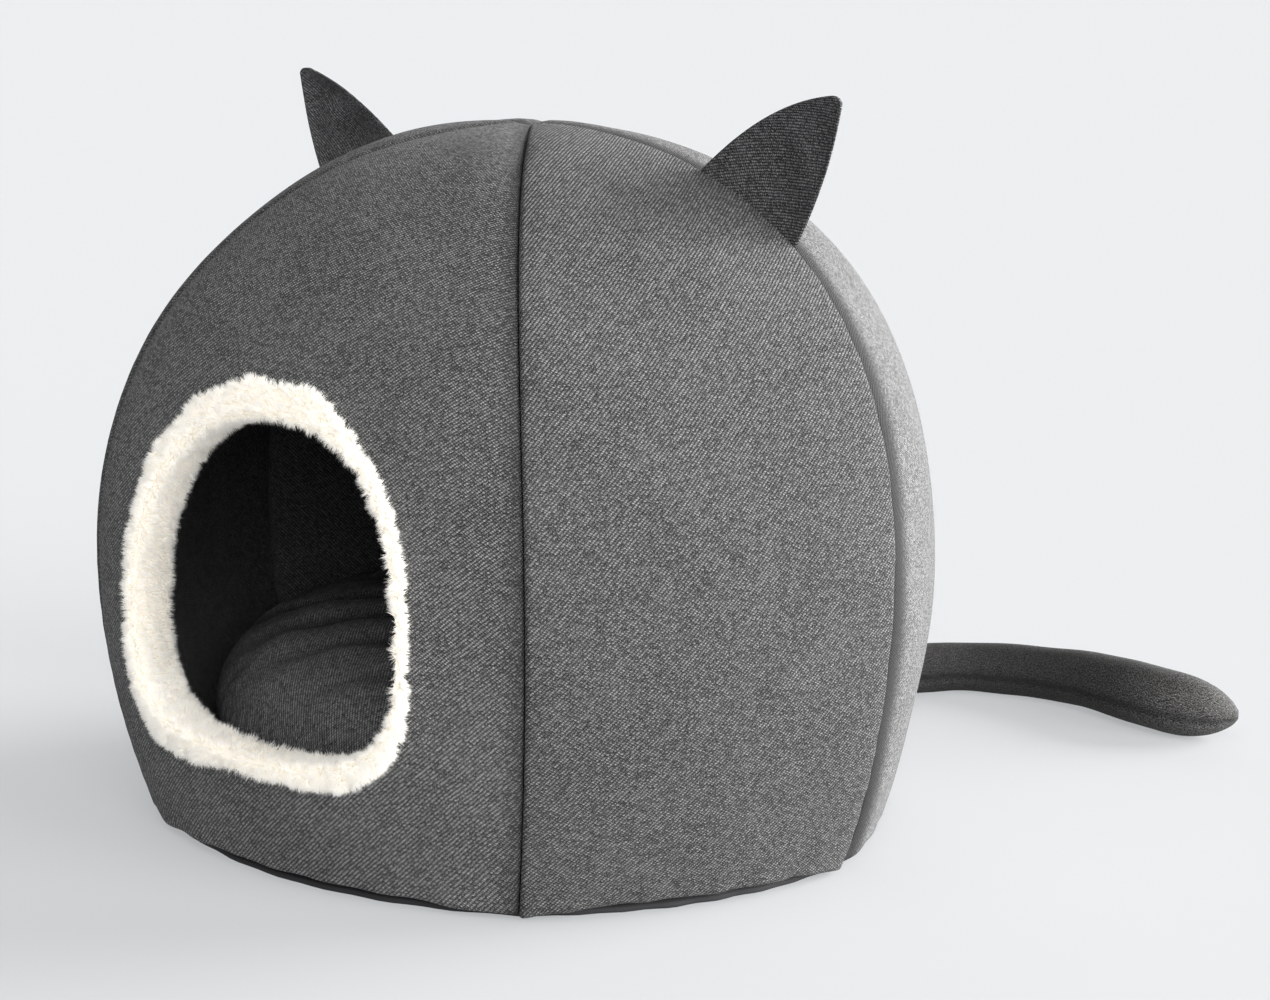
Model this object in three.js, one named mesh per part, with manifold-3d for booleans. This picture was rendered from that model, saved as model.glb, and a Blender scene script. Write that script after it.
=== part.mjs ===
// A cat-shaped pet bed. Six foam-backed twill panels are sewn into a dome that leans a little. The widest
// has the entrance, whose cut edge is wrapped in long-pile plush. Two ears stand in the side seams, a
// stuffed tail lies on the floor behind, a thin base cloth closes the foot and a filled cushion lies inside.
// Millimetres, +Z up. The origin is on the floor under the middle of the dome. The entrance faces -Y.
// Azimuths are in degrees round +Z from -Y towards +X, so +X is at 90.
import * as THREE from "three";
import { mergeVertices } from "three/addons/utils/BufferGeometryUtils.js";
import Module from "manifold-3d";

const wasm = await Module();
wasm.setup();

const RAD = Math.PI / 180;
const SEAM_GAP = 0.4; // between the edges of two panels

// The outline of the dome along a seam: a superellipse above its widest height, a parabola below it.
const DOME = { radius: 205.2, widestAt: 124, height: 322.3, footDrawIn: 24.8, crownPower: 2.13 };
const LEAN = { atCrown: -6.4, power: 1.5 }; // the dome leans to the left as it rises
const WALL = 18;
const CROWN_HOLE = 1.6; // radius where the tips of the panels end
const ROLL = { depth: 7.4, width: 5.5, fullAt: 30 }; // how a panel's edge turns down into its seam
const HEM = { lift: 5, fadeHeight: 40, power: 3 }; // the foot is lifted between the seams

// Each seam's azimuth, and its reach as a share of the outline's radius, at the floor, middle and crown.
const SEAMS = [
  { azFloor: -37, azMiddle: -40, azCrown: -37, reachFloor: 0.99, reachMiddle: 0.996, reachCrown: 0.966 },
  { azFloor: 38.6, azMiddle: 39, azCrown: 36.4, reachFloor: 1, reachMiddle: 1, reachCrown: 1 },
  { azFloor: 92.6, azMiddle: 91, azCrown: 101.4, reachFloor: 0.98, reachMiddle: 1, reachCrown: 1 },
  { azFloor: 150, azMiddle: 149, azCrown: 152, reachFloor: 0.985, reachMiddle: 0.985, reachCrown: 1 },
  { azFloor: 207, azMiddle: 206, azCrown: 207, reachFloor: 1, reachMiddle: 1, reachCrown: 1 },
  { azFloor: 266, azMiddle: 266, azCrown: 267, reachFloor: 1, reachMiddle: 1, reachCrown: 1 },
];
const RIGHT_EAR_SEAM = 2;
const LEFT_EAR_SEAM = 5;

// Each panel starts at the seam of its own row. Fullness is the share of a round section's bulge. Below and
// above are its rows of faces under and over the widest height.
const PANELS = [
  { name: "gore_front", fullFloor: 0.74, fullCrown: 0.28, columns: 18, below: 8, above: 16 },
  { name: "gore_right_front", fullFloor: 0.66, fullCrown: 0.24, columns: 12, below: 5, above: 11 },
  { name: "gore_right_back", fullFloor: 0.46, fullCrown: 0.3, columns: 12, below: 5, above: 11 },
  { name: "gore_back", fullFloor: 0.6, fullCrown: 0.28, columns: 12, below: 5, above: 11 },
  { name: "gore_left_back", fullFloor: 0.6, fullCrown: 0.28, columns: 12, below: 5, above: 11 },
  { name: "gore_left_front", fullFloor: 0.6, fullCrown: 0.3, columns: 12, below: 5, above: 11 },
];
const COLUMN_CROWDING = 1.5; // above 1 the columns of faces crowd towards the seams
const FRONT = 0;
const BACK = 3;

// The clear opening between the pile: half a superellipse above its widest height. Below it are two
// quarters, each with its own power.
const ENTRANCE = {
  middle: -6,
  halfWidth: 76,
  widestAt: 110.7,
  rise: 90,
  drop: 49.7,
  topPower: 2.37,
  sillPowerLeft: 3.7,
  sillPowerRight: 2.9,
};
const ENTRANCE_STEPS = 48;
const PILE = 5.4; // plush between the clear opening and the cut edge of the panel
// How far the plush band's cloth reaches over the panel's face, every 30 degrees from the right side on by
// way of the top. A smooth closed curve runs through the widths.
const FLAP = [1.6, 2.2, 3, 11, 9.2, 4.8, 2, 2.8, 8.4, 3.6, 6, 3.6];

// One section of the plush band: along is outwards from the cut edge, as a share of the flap and as
// millimetres added. Off and offInside are the heights above the panel's outer and inner face.
const BAND_SECTION = [
  { flapShare: 0, added: -0.5, off: 0.7, offInside: 0.7 },
  { flapShare: 1, added: 2, off: 0.7, offInside: 0.7 },
  { flapShare: 1, added: 4.2, off: 2.8, offInside: 2.6 },
  { flapShare: 1, added: 2.4, off: 5.4, offInside: 4.6 },
  { flapShare: 0.35, added: 0, off: 7, offInside: 5.4 },
  { flapShare: 0, added: -2.6, off: 5.8, offInside: 4.6 },
  { flapShare: 0, added: -PILE, off: 1.6, offInside: 0.8 },
];

const CUSHION = { radius: 153, middle: 42, rise: 60, drop: 44, topPower: 3, underPower: 4, underside: 2.9 };
const CUSHION_STEPS = 48;
const CUSHION_RINGS_ABOVE = 14;
const CUSHION_RINGS_BELOW = 6;
const CREASE_AZIMUTH = 39.8; // the creases run across this direction
const CREASE_FADE = 6; // how late the creases fade out towards the rim, as a power
// Soft troughs across the top of the cushion: place along that direction, bend over half the width, and size.
const CREASES = [
  { place: -112, bend: 26, depth: 2.6, width: 7 },
  { place: -78, bend: 30, depth: 3.6, width: 8 },
  { place: -44, bend: 34, depth: 3.2, width: 9 },
  { place: -8, bend: 30, depth: 3.4, width: 8 },
  { place: 34, bend: 24, depth: 2.8, width: 9 },
  { place: 80, bend: 20, depth: 2.6, width: 9 },
];

const BASE = { thickness: 2.5, insetAtSeam: 7.5, insetBetween: 3.5, stepsPerPanel: 8 };

// An ear in its own upright plane: radius from the dome's axis and height. The base follows the seam.
const EAR = {
  baseTop: 307.3,
  baseLow: 275.7,
  sunk: 6.15,
  tipHalfWidth: 3.4,
  edgeHalf: 1,
  middleHalf: 3,
  cup: 7.5,
  lowerBow: { radius: 3, height: -1 },
};
const EAR_GRID = { across: 8, up: 9 };
const EARS = [
  { name: "ear_right", seam: RIGHT_EAR_SEAM, tipRadius: 155.5, tipHeight: 343, upperBow: 7.6 },
  { name: "ear_left", seam: LEFT_EAR_SEAM, tipRadius: 153.5, tipHeight: 336, upperBow: 4.3 },
];

// The tail's middle line on the floor, with its radius. It is sewn to the foot of the back panel.
const TAIL = [
  { x: 0, y: 180, radius: 13, height: 17.5 },
  { x: 0.5, y: 192, radius: 13, height: 17.3 },
  { x: 2, y: 210, radius: 13, height: 16 },
  { x: 6, y: 240, radius: 13, height: 13.6 },
  { x: 12, y: 262, radius: 13, height: 13 },
  { x: 20, y: 284, radius: 13, height: 13 },
  { x: 32, y: 303, radius: 13.1, height: 13.1 },
  { x: 50, y: 319, radius: 13.2, height: 13.2 },
  { x: 75, y: 329, radius: 13.8, height: 13.8 },
  { x: 105, y: 331, radius: 14.8, height: 14.8 },
  { x: 132, y: 326, radius: 15.9, height: 15.9 },
  { x: 155, y: 320, radius: 16.6, height: 16.6 },
  { x: 172, y: 318, radius: 16.4, height: 16.4 },
  { x: 184, y: 320, radius: 14.6, height: 15.4 },
  { x: 193, y: 323.5, radius: 11.4, height: 14.4 },
  { x: 199, y: 326.5, radius: 7, height: 13.8 },
  { x: 202, y: 328.5, radius: 2.6, height: 13.6 },
];
const TAIL_SIDES = 14;
const TAIL_ROOT_GAP = 0.4; // between the tail and the back panel
const WALK_STEPS = 14; // steps taken to find a place on a panel

const twill = new THREE.MeshStandardMaterial({ color: 0x55565a, roughness: 0.95, metalness: 0 });
const earTwill = new THREE.MeshStandardMaterial({ color: 0x3c3d40, roughness: 0.95, metalness: 0 });
const plush = new THREE.MeshStandardMaterial({ color: 0xf1ebdd, roughness: 1, metalness: 0 });
const baseCloth = new THREE.MeshStandardMaterial({ color: 0x1b1b1d, roughness: 0.9, metalness: 0 });

const lerp = THREE.MathUtils.lerp;

// The parabola through three values at the floor, half way up and at the crown.
function through(floor, middle, crown, share) {
  const low = floor * (1 - share) * (1 - 2 * share);
  const mid = 4 * middle * share * (1 - share);
  return low + mid + crown * share * (2 * share - 1);
}

// The dome's radius at a height, with the outward normal of that outline.
function outline(z) {
  const climb = DOME.height - DOME.widestAt;
  if (z <= DOME.widestAt) {
    const down = (DOME.widestAt - z) / DOME.widestAt;
    const slope = (2 * DOME.footDrawIn * down) / DOME.widestAt;
    const length = Math.hypot(1, slope);
    return { radius: DOME.radius - DOME.footDrawIn * down * down, out: 1 / length, up: -slope / length };
  }
  const p = DOME.crownPower;
  const rise = Math.min((z - DOME.widestAt) / climb, 1);
  const share = Math.pow(Math.max(1 - Math.pow(rise, p), 0), 1 / p);
  const out = Math.pow(share, p - 1) / DOME.radius;
  const up = Math.pow(rise, p - 1) / climb;
  const length = Math.hypot(out, up);
  return { radius: DOME.radius * share, out: out / length, up: up / length };
}

function seamAzimuth(index, share) {
  const seam = SEAMS[index % SEAMS.length];
  const turn = index >= SEAMS.length ? 360 : 0;
  return (through(seam.azFloor, seam.azMiddle, seam.azCrown, share) + turn) * RAD;
}

function seamReach(index, share) {
  const seam = SEAMS[index % SEAMS.length];
  return through(seam.reachFloor, seam.reachMiddle, seam.reachCrown, share);
}

// A point of a seam at height z on the outside, moved in by depth along the outline's normal.
function seamPoint(index, z, depth) {
  const share = z / DOME.height;
  const { radius, out, up } = outline(z);
  const reach = seamReach(index, share) * (radius - depth * out);
  const azimuth = seamAzimuth(index, share);
  const lean = LEAN.atCrown * Math.pow(share, LEAN.power);
  return new THREE.Vector3(
    reach * Math.sin(azimuth) + lean,
    -reach * Math.cos(azimuth),
    z - depth * up,
  );
}

// Half the width of a panel at a height, along the chord between its two seams.
function halfWidth(panel, z) {
  return seamPoint(panel, z, 0).distanceTo(seamPoint(panel + 1, z, 0)) / 2;
}

// How deep a place near a panel's edge turns down into the seam.
function rollDepth(panel, across, z) {
  const half = halfWidth(panel, z);
  const fromSeam = (1 - Math.abs(across)) * half;
  return ROLL.depth * Math.exp(-fromSeam / ROLL.width) * Math.min(1, half / ROLL.fullAt);
}

// A point of a panel: across from -1 at its first seam to 1 at its second, and depth inwards. The section
// at each height is the chord between the two seams with a parabola's bulge on it.
function panelPoint(panel, across, z, depth) {
  const share = z / DOME.height;
  const first = seamPoint(panel, z, depth);
  const second = seamPoint(panel + 1, z, depth);
  const chord = second.clone().sub(first);
  const half = chord.length() / 2 - SEAM_GAP / 2;
  chord.normalize();
  const outwards = new THREE.Vector3(chord.y, -chord.x, 0);
  const spread = (seamAzimuth(panel + 1, share) - seamAzimuth(panel, share)) / 2;
  const { radius, out } = outline(z);
  const fullness = lerp(PANELS[panel].fullFloor, PANELS[panel].fullCrown, share);
  const bulge = (radius - depth * out) * (1 - Math.cos(spread)) * fullness * (1 - across * across);
  return first
    .add(second)
    .multiplyScalar(0.5)
    .addScaledVector(chord, across * half)
    .addScaledVector(outwards, bulge);
}

// The heights of the rows of faces, from the floor to the crown hole.
function rowHeights({ below, above }) {
  const heights = [];
  for (let i = 0; i <= below; i++) heights.push((DOME.widestAt * i) / below);
  const climb = DOME.height - DOME.widestAt;
  const p = DOME.crownPower;
  for (let i = 1; i < above; i++) {
    const angle = (i / above) * 90 * RAD;
    heights.push(DOME.widestAt + climb * Math.pow(Math.sin(angle), 2 / p));
  }
  const last = Math.pow(1 - Math.pow(CROWN_HOLE / DOME.radius, p), 1 / p);
  heights.push(DOME.widestAt + climb * last);
  return heights;
}

// The places across a panel, closer together beside the seams, where its edge rolls in.
function columnPlaces(columns) {
  const places = [];
  for (let i = 0; i <= columns; i++) {
    const even = (2 * i) / columns - 1;
    places.push(Math.sign(even) * (1 - Math.pow(1 - Math.abs(even), COLUMN_CROWDING)));
  }
  return places;
}

// How much the foot is lifted at a place across the panel, fading out upwards.
function hemLift(across, z) {
  const fade = Math.max(0, 1 - z / HEM.fadeHeight);
  return HEM.lift * (1 - Math.pow(Math.abs(across), HEM.power)) * fade * fade;
}

// A closed body between two grids of points with the same rows and columns, outer seen from outside with
// its columns to the right and its rows upwards.
function closedShell(outer, inner) {
  const rows = outer.length - 1;
  const columns = outer[0].length - 1;
  const positions = [];
  const index = [];
  const at = (layer, i, j) => (layer * (rows + 1) + i) * (columns + 1) + j;
  for (const layer of [outer, inner]) {
    for (const row of layer) for (const p of row) positions.push(p.x, p.y, p.z);
  }
  const quad = (a, b, c, d) => index.push(a, b, c, a, c, d);
  for (let i = 0; i < rows; i++) {
    for (let j = 0; j < columns; j++) {
      quad(at(0, i, j), at(0, i, j + 1), at(0, i + 1, j + 1), at(0, i + 1, j));
      quad(at(1, i, j), at(1, i + 1, j), at(1, i + 1, j + 1), at(1, i, j + 1));
    }
  }
  for (let j = 0; j < columns; j++) {
    quad(at(0, 0, j), at(1, 0, j), at(1, 0, j + 1), at(0, 0, j + 1));
    quad(at(0, rows, j), at(0, rows, j + 1), at(1, rows, j + 1), at(1, rows, j));
  }
  for (let i = 0; i < rows; i++) {
    quad(at(0, i, 0), at(0, i + 1, 0), at(1, i + 1, 0), at(1, i, 0));
    quad(at(0, i, columns), at(1, i, columns), at(1, i + 1, columns), at(0, i + 1, columns));
  }
  return geometryOf(positions, index);
}

function geometryOf(positions, index) {
  const geometry = new THREE.BufferGeometry();
  geometry.setAttribute("position", new THREE.Float32BufferAttribute(positions, 3));
  geometry.setIndex(index);
  geometry.computeVertexNormals();
  return geometry;
}

// A closed body from rings of points that all have the same count. Each end closes on its own centre.
function closedLoft(rings) {
  const positions = [];
  const index = [];
  const count = rings[0].length;
  for (const ring of rings) for (const p of ring) positions.push(p.x, p.y, p.z);
  for (let i = 0; i + 1 < rings.length; i++) {
    for (let j = 0; j < count; j++) {
      const k = (j + 1) % count;
      const a = i * count + j;
      const b = i * count + k;
      index.push(a, b, b + count, a, b + count, a + count);
    }
  }
  const ends = [rings[0], rings[rings.length - 1]];
  ends.forEach((ring, end) => {
    const centre = new THREE.Vector3();
    for (const p of ring) centre.addScaledVector(p, 1 / count);
    const hub = positions.length / 3;
    positions.push(centre.x, centre.y, centre.z);
    const start = end ? (rings.length - 1) * count : 0;
    for (let j = 0; j < count; j++) {
      const k = (j + 1) % count;
      if (end) index.push(hub, start + j, start + k);
      else index.push(hub, start + k, start + j);
    }
  });
  return geometryOf(positions, index);
}

function solidOf(geometry) {
  const bare = geometry.clone();
  bare.deleteAttribute("normal");
  bare.deleteAttribute("uv");
  const merged = mergeVertices(bare, 1e-4);
  const mesh = new wasm.Mesh({
    numProp: 3,
    vertProperties: merged.attributes.position.array,
    triVerts: new Uint32Array(merged.index.array),
  });
  return new wasm.Manifold(mesh);
}

function geometryOfSolid(solid) {
  const mesh = solid.getMesh();
  return geometryOf(Array.from(mesh.vertProperties), Array.from(mesh.triVerts));
}

function panelShell(panel) {
  const columns = columnPlaces(PANELS[panel].columns);
  const grid = (depthAt) =>
    rowHeights(PANELS[panel]).map((z) =>
      columns.map((across) => panelPoint(panel, across, z + hemLift(across, z), depthAt(across, z))),
    );
  return closedShell(grid((across, z) => rollDepth(panel, across, z)), grid(() => WALL));
}

// A point of the entrance's outline in the XZ plane, grown outwards by a margin, with its outward direction.
function entrancePoint(step, margin) {
  const angle = (step / ENTRANCE_STEPS) * 360 * RAD;
  const c = Math.cos(angle);
  const s = Math.sin(angle);
  const sillPower = c < 0 ? ENTRANCE.sillPowerLeft : ENTRANCE.sillPowerRight;
  const power = s >= 0 ? ENTRANCE.topPower : sillPower;
  const height = (s >= 0 ? ENTRANCE.rise : ENTRANCE.drop) + margin;
  const width = ENTRANCE.halfWidth + margin;
  const across = Math.pow(Math.abs(c), 2 / power);
  const up = Math.pow(Math.abs(s), 2 / power);
  const outX = (Math.sign(c) * Math.pow(across, power - 1)) / width;
  const outZ = (Math.sign(s) * Math.pow(up, power - 1)) / height;
  const length = Math.hypot(outX, outZ);
  return {
    x: ENTRANCE.middle + Math.sign(c) * across * width,
    z: ENTRANCE.widestAt + Math.sign(s) * up * height,
    outX: outX / length,
    outZ: outZ / length,
  };
}

function frontPanel() {
  const shape = new THREE.Shape();
  for (let step = 0; step < ENTRANCE_STEPS; step++) {
    const p = entrancePoint(step, PILE);
    if (step) shape.lineTo(p.x, p.z);
    else shape.moveTo(p.x, p.z);
  }
  const reach = DOME.radius + WALL;
  const cutter = new THREE.ExtrudeGeometry(shape, { depth: reach, bevelEnabled: false });
  cutter.rotateX(90 * RAD);
  return geometryOfSolid(solidOf(panelShell(FRONT)).subtract(solidOf(cutter)));
}

// The Y of a panel's surface over a place in the XZ plane, found by walking to it.
function panelFaceY(panel, x, z, depth) {
  const side = panel === BACK ? -1 : 1;
  const share = z / DOME.height;
  const spread = (seamAzimuth(panel + 1, share) - seamAzimuth(panel, share)) / 2;
  const half = outline(z).radius * Math.sin(spread);
  let across = (side * x) / half;
  let height = z;
  let found = panelPoint(panel, across, height, depth);
  for (let i = 0; i < WALK_STEPS; i++) {
    across += (side * (x - found.x)) / half;
    height += z - found.z;
    found = panelPoint(panel, across, height, depth);
  }
  return found.y;
}

// The plush band: a section that wraps the cut edge, carried round the entrance.
function entranceBand() {
  const widths = FLAP.map((width) => new THREE.Vector3(width, 0, 0));
  const flapCurve = new THREE.CatmullRomCurve3(widths, true, "catmullrom");
  const rings = [];
  for (let step = 0; step < ENTRANCE_STEPS; step++) {
    const edge = entrancePoint(step, PILE);
    const flap = flapCurve.getPoint(step / ENTRANCE_STEPS).x;
    const place = ({ flapShare, added }, depth, off) => {
      const along = flapShare * flap + added;
      const x = edge.x + edge.outX * along;
      const z = edge.z + edge.outZ * along;
      return new THREE.Vector3(x, panelFaceY(FRONT, x, z, depth) + off, z);
    };
    const outside = BAND_SECTION.map((row) => place(row, 0, -row.off));
    const inside = BAND_SECTION.map((row) => place(row, WALL, row.offInside)).reverse();
    rings.push([...outside, ...inside]);
  }
  return closedRing(rings);
}

// A closed body from sections carried round a closed path.
function closedRing(rings) {
  const positions = [];
  const index = [];
  const count = rings[0].length;
  for (const ring of rings) for (const p of ring) positions.push(p.x, p.y, p.z);
  for (let i = 0; i < rings.length; i++) {
    const next = (i + 1) % rings.length;
    for (let j = 0; j < count; j++) {
      const k = (j + 1) % count;
      const [a, b, c, d] = [i * count + j, i * count + k, next * count + k, next * count + j];
      index.push(a, c, b, a, d, c);
    }
  }
  return geometryOf(positions, index);
}

// The trough of every crease at a place on the cushion, faded out towards its edge.
function creaseDepth(x, y) {
  const turn = CREASE_AZIMUTH * RAD;
  const sideways = x * Math.cos(turn) + y * Math.sin(turn);
  const away = -x * Math.sin(turn) + y * Math.cos(turn);
  const fade = Math.max(0, 1 - Math.pow(Math.hypot(x, y) / CUSHION.radius, CREASE_FADE));
  let depth = 0;
  for (const crease of CREASES) {
    const bend = crease.bend * Math.pow(sideways / CUSHION.radius, 2);
    const from = (away - crease.place - bend) / crease.width;
    depth += crease.depth * Math.exp(-from * from);
  }
  return depth * fade;
}

function cushion() {
  const rings = [];
  const total = CUSHION_RINGS_ABOVE + CUSHION_RINGS_BELOW;
  for (let i = 1; i < total; i++) {
    const above = i >= CUSHION_RINGS_BELOW;
    const steps = above ? CUSHION_RINGS_ABOVE : CUSHION_RINGS_BELOW;
    const angle = ((i - CUSHION_RINGS_BELOW) / steps) * 90 * RAD;
    const power = above ? CUSHION.topPower : CUSHION.underPower;
    const radius = CUSHION.radius * Math.pow(Math.cos(angle), 2 / power);
    const lift = Math.sign(angle) * Math.pow(Math.abs(Math.sin(angle)), 2 / power);
    const height = CUSHION.middle + lift * (above ? CUSHION.rise : CUSHION.drop);
    const ring = [];
    for (let j = 0; j < CUSHION_STEPS; j++) {
      const azimuth = (j / CUSHION_STEPS) * 360 * RAD;
      const x = radius * Math.cos(azimuth);
      const y = radius * Math.sin(azimuth);
      const trough = above && i > CUSHION_RINGS_BELOW ? creaseDepth(x, y) : 0;
      ring.push(new THREE.Vector3(x, y, Math.max(height - trough, CUSHION.underside)));
    }
    rings.push(ring);
  }
  return closedLoft(rings);
}

// The base cloth follows the foot of the panels inside it, and shows most where the foot is lifted.
function baseSheet() {
  const shape = new THREE.Shape();
  PANELS.forEach((_, panel) => {
    for (let i = 0; i < BASE.stepsPerPanel; i++) {
      const across = (2 * i) / BASE.stepsPerPanel - 1;
      const p = panelPoint(panel, across, 0, 0);
      const inset = lerp(BASE.insetBetween, BASE.insetAtSeam, across * across);
      const shrink = 1 - inset / Math.hypot(p.x, p.y);
      if (panel || i) shape.lineTo(p.x * shrink, p.y * shrink);
      else shape.moveTo(p.x * shrink, p.y * shrink);
    }
  });
  return new THREE.ExtrudeGeometry(shape, { depth: BASE.thickness, bevelEnabled: false });
}

// An ear: two quadratic edges rise from the seam to a blunt tip, and the cloth between them is a thin
// cushion, hollowed on its front.
function ear({ seam, tipRadius, tipHeight, upperBow }) {
  const azimuth = seamAzimuth(seam, EAR.baseLow / DOME.height);
  const outwards = new THREE.Vector3(Math.sin(azimuth), -Math.cos(azimuth), 0);
  const along = new THREE.Vector3(Math.cos(azimuth), Math.sin(azimuth), 0);
  const front = along.y < 0 ? along : along.clone().negate();
  const lean = new THREE.Vector3(LEAN.atCrown, 0, 0);
  const tip = (side) =>
    lean
      .clone()
      .addScaledVector(outwards, tipRadius + side * EAR.tipHalfWidth)
      .add(new THREE.Vector3(0, 0, tipHeight - (side > 0 ? EAR.tipHalfWidth : 0)));
  const base = (u) => seamPoint(seam, lerp(EAR.baseTop, EAR.baseLow, u), EAR.sunk);
  const edge = (start, end, bow) => {
    const middle = start.clone().add(end).multiplyScalar(0.5);
    middle.addScaledVector(outwards, 2 * bow.radius);
    middle.z += 2 * bow.height;
    return new THREE.QuadraticBezierCurve3(start, middle, end);
  };
  const upper = edge(base(0), tip(-1), { radius: 0, height: upperBow });
  const lower = edge(base(1), tip(1), EAR.lowerBow);
  const point = (u, v, side) => {
    const onSeam = base(u).sub(base(0).lerp(base(1), u));
    const p = upper.getPoint(v).lerp(lower.getPoint(v), u).addScaledVector(onSeam, (1 - v) * (1 - v));
    const round = 4 * u * (1 - u);
    const belly = Math.sin(Math.PI * v);
    const half = EAR.edgeHalf + (EAR.middleHalf - EAR.edgeHalf) * round * belly * belly;
    p.addScaledVector(front, side * half - EAR.cup * round * belly);
    return p;
  };
  const grid = (side) => {
    const rows = [];
    for (let i = 0; i <= EAR_GRID.up; i++) {
      const row = [];
      for (let j = 0; j <= EAR_GRID.across; j++) {
        row.push(point(j / EAR_GRID.across, i / EAR_GRID.up, side));
      }
      rows.push(row);
    }
    return rows;
  };
  return outwards.x > 0 ? closedShell(grid(1), grid(-1)) : closedShell(grid(-1), grid(1));
}

// The stuffed tail: rings square to its middle line. The root ring follows the back panel.
function tail() {
  const line = new THREE.CatmullRomCurve3(TAIL.map((p) => new THREE.Vector3(p.x, p.y, p.height)));
  const rings = TAIL.map((p, i) => {
    const forward = line.getTangent(i / (TAIL.length - 1));
    const side = new THREE.Vector3(-forward.y, forward.x, 0).normalize();
    const up = forward.clone().cross(side).normalize();
    const ring = [];
    for (let j = 0; j < TAIL_SIDES; j++) {
      const angle = ((j + 0.5) / TAIL_SIDES) * 360 * RAD;
      const point = new THREE.Vector3(p.x, p.y, p.height)
        .addScaledVector(side, p.radius * Math.cos(angle))
        .addScaledVector(up, p.radius * Math.sin(angle));
      if (i === 0) point.y = panelFaceY(BACK, point.x, point.z, 0) + TAIL_ROOT_GAP;
      point.z = Math.max(point.z, 0);
      ring.push(point);
    }
    return ring;
  });
  return closedLoft(rings);
}

const bed = new THREE.Group();

function add(name, geometry, material) {
  const mesh = new THREE.Mesh(geometry, material.clone());
  mesh.name = name;
  bed.add(mesh);
}

PANELS.forEach(({ name }, panel) => {
  add(name, panel === FRONT ? frontPanel() : panelShell(panel), twill);
});
add("entrance_trim", entranceBand(), plush);
for (const row of EARS) add(row.name, ear(row), earTwill);
add("tail", tail(), earTwill);
add("base_sheet", baseSheet(), baseCloth);
add("cushion", cushion(), twill);

export default bed;
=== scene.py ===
# A cat-shaped pet bed: six foam-backed twill panels sewn into a dome, an entrance edged with long-pile
# plush, two ears, a stuffed tail, a thin base cloth and a filled cushion.
# Shapes are worked out in millimetres and become metres where a mesh is made. +Z is up, the origin lies on
# the floor under the middle of the dome and the entrance faces -Y. Azimuths are degrees from -Y towards +X.
import math

import bpy
import numpy as np
from mathutils import Matrix, Vector


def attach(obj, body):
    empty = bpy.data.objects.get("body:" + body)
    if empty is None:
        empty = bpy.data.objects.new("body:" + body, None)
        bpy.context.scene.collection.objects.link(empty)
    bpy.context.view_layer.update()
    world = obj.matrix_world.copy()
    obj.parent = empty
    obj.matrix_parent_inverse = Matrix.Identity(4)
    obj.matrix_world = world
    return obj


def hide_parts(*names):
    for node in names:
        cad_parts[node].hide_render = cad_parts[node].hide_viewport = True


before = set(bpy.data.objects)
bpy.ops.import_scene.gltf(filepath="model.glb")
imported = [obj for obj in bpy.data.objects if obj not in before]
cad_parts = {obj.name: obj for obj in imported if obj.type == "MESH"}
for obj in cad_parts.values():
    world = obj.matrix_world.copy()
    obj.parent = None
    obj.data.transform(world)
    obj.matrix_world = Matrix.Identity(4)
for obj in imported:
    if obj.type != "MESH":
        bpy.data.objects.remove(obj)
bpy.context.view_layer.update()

MM = 0.001
BODY = "root"


def table(columns, *rows):
    """A dictionary for each row of values, under the names of the columns."""
    return [dict(zip(columns.split(), row)) for row in rows]


# The photograph's camera: where it stands, as seen from its aim, and then how far it turns about its own up,
# right and backward direction. The focal length is in pixels of a picture that is 1270 pixels wide.
CAMERA = {"azimuth": 39.8, "elevation": 10.41, "distance": 1507.7}
CAMERA_TURNS = [("up", -1.755), ("right", -1.259), ("back", 1.209)]
CAMERA_AIM = (0.0, 0.0, 180.0)
CAMERA_REACH = 100.0  # how far it sees, in metres
FOCAL_PIXELS = 3228.7
PICTURE_WIDTH = 1270
SENSOR_WIDTH = 36.0

# The outline of the dome along a seam.
DOME = {"radius": 205.2, "widest_at": 124.0, "height": 322.3, "foot_draw_in": 24.8, "crown_power": 2.13}
LEAN = {"at_crown": -6.4, "power": 1.5}
WALL = 18.0
CROWN_HOLE = 0.9
SEAM_GAP = 0.3

# Each seam's azimuth and its reach as a share of the outline's radius: at the floor, middle and crown.
SEAMS = table(
    "azimuth reach",
    ((-37.0, -40.0, -37.0), (0.99, 0.996, 0.966)),
    ((38.6, 39.0, 36.4), (1.0, 1.0, 1.0)),
    ((92.6, 91.0, 101.4), (0.98, 1.0, 1.0)),
    ((150.0, 149.0, 152.0), (0.985, 0.985, 1.0)),
    ((207.0, 206.0, 207.0), (1.0, 1.0, 1.0)),
    ((266.0, 266.0, 267.0), (1.0, 1.0, 1.0)),
)
RIGHT_EAR_SEAM = 2
LEFT_EAR_SEAM = 5

# How a panel's edge lies beside its seam: it turns down in a rounded edge of a depth and radius, after a
# swell that sinks by its own depth and fades out over a reach. Painted shade is how much darker the cloth's
# colour is made at the seam, where less light gets in; it fades out over its own reach, more suddenly with a
# higher power. Where one edge of a seam is folded over the other, it is crisp and the one beneath it is sunk.
EVEN_EDGE, CRISP_EDGE, SUNK_EDGE, SUNK_WIDE_EDGE = table(
    "depth radius swell reach shade shade_reach shade_power",
    (6.6, 5.4, 3.0, 9.0, 0.5, 5.0, 2.0),
    (2.6, 2.0, 0.7, 5.0, 0.0, 3.0, 2.0),
    (1.8, 2.2, 2.8, 8.0, 0.6, 7.5, 2.0),
    (4.0, 4.6, 3.6, 13.0, 0.98, 18.5, 4.0),
)
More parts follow.
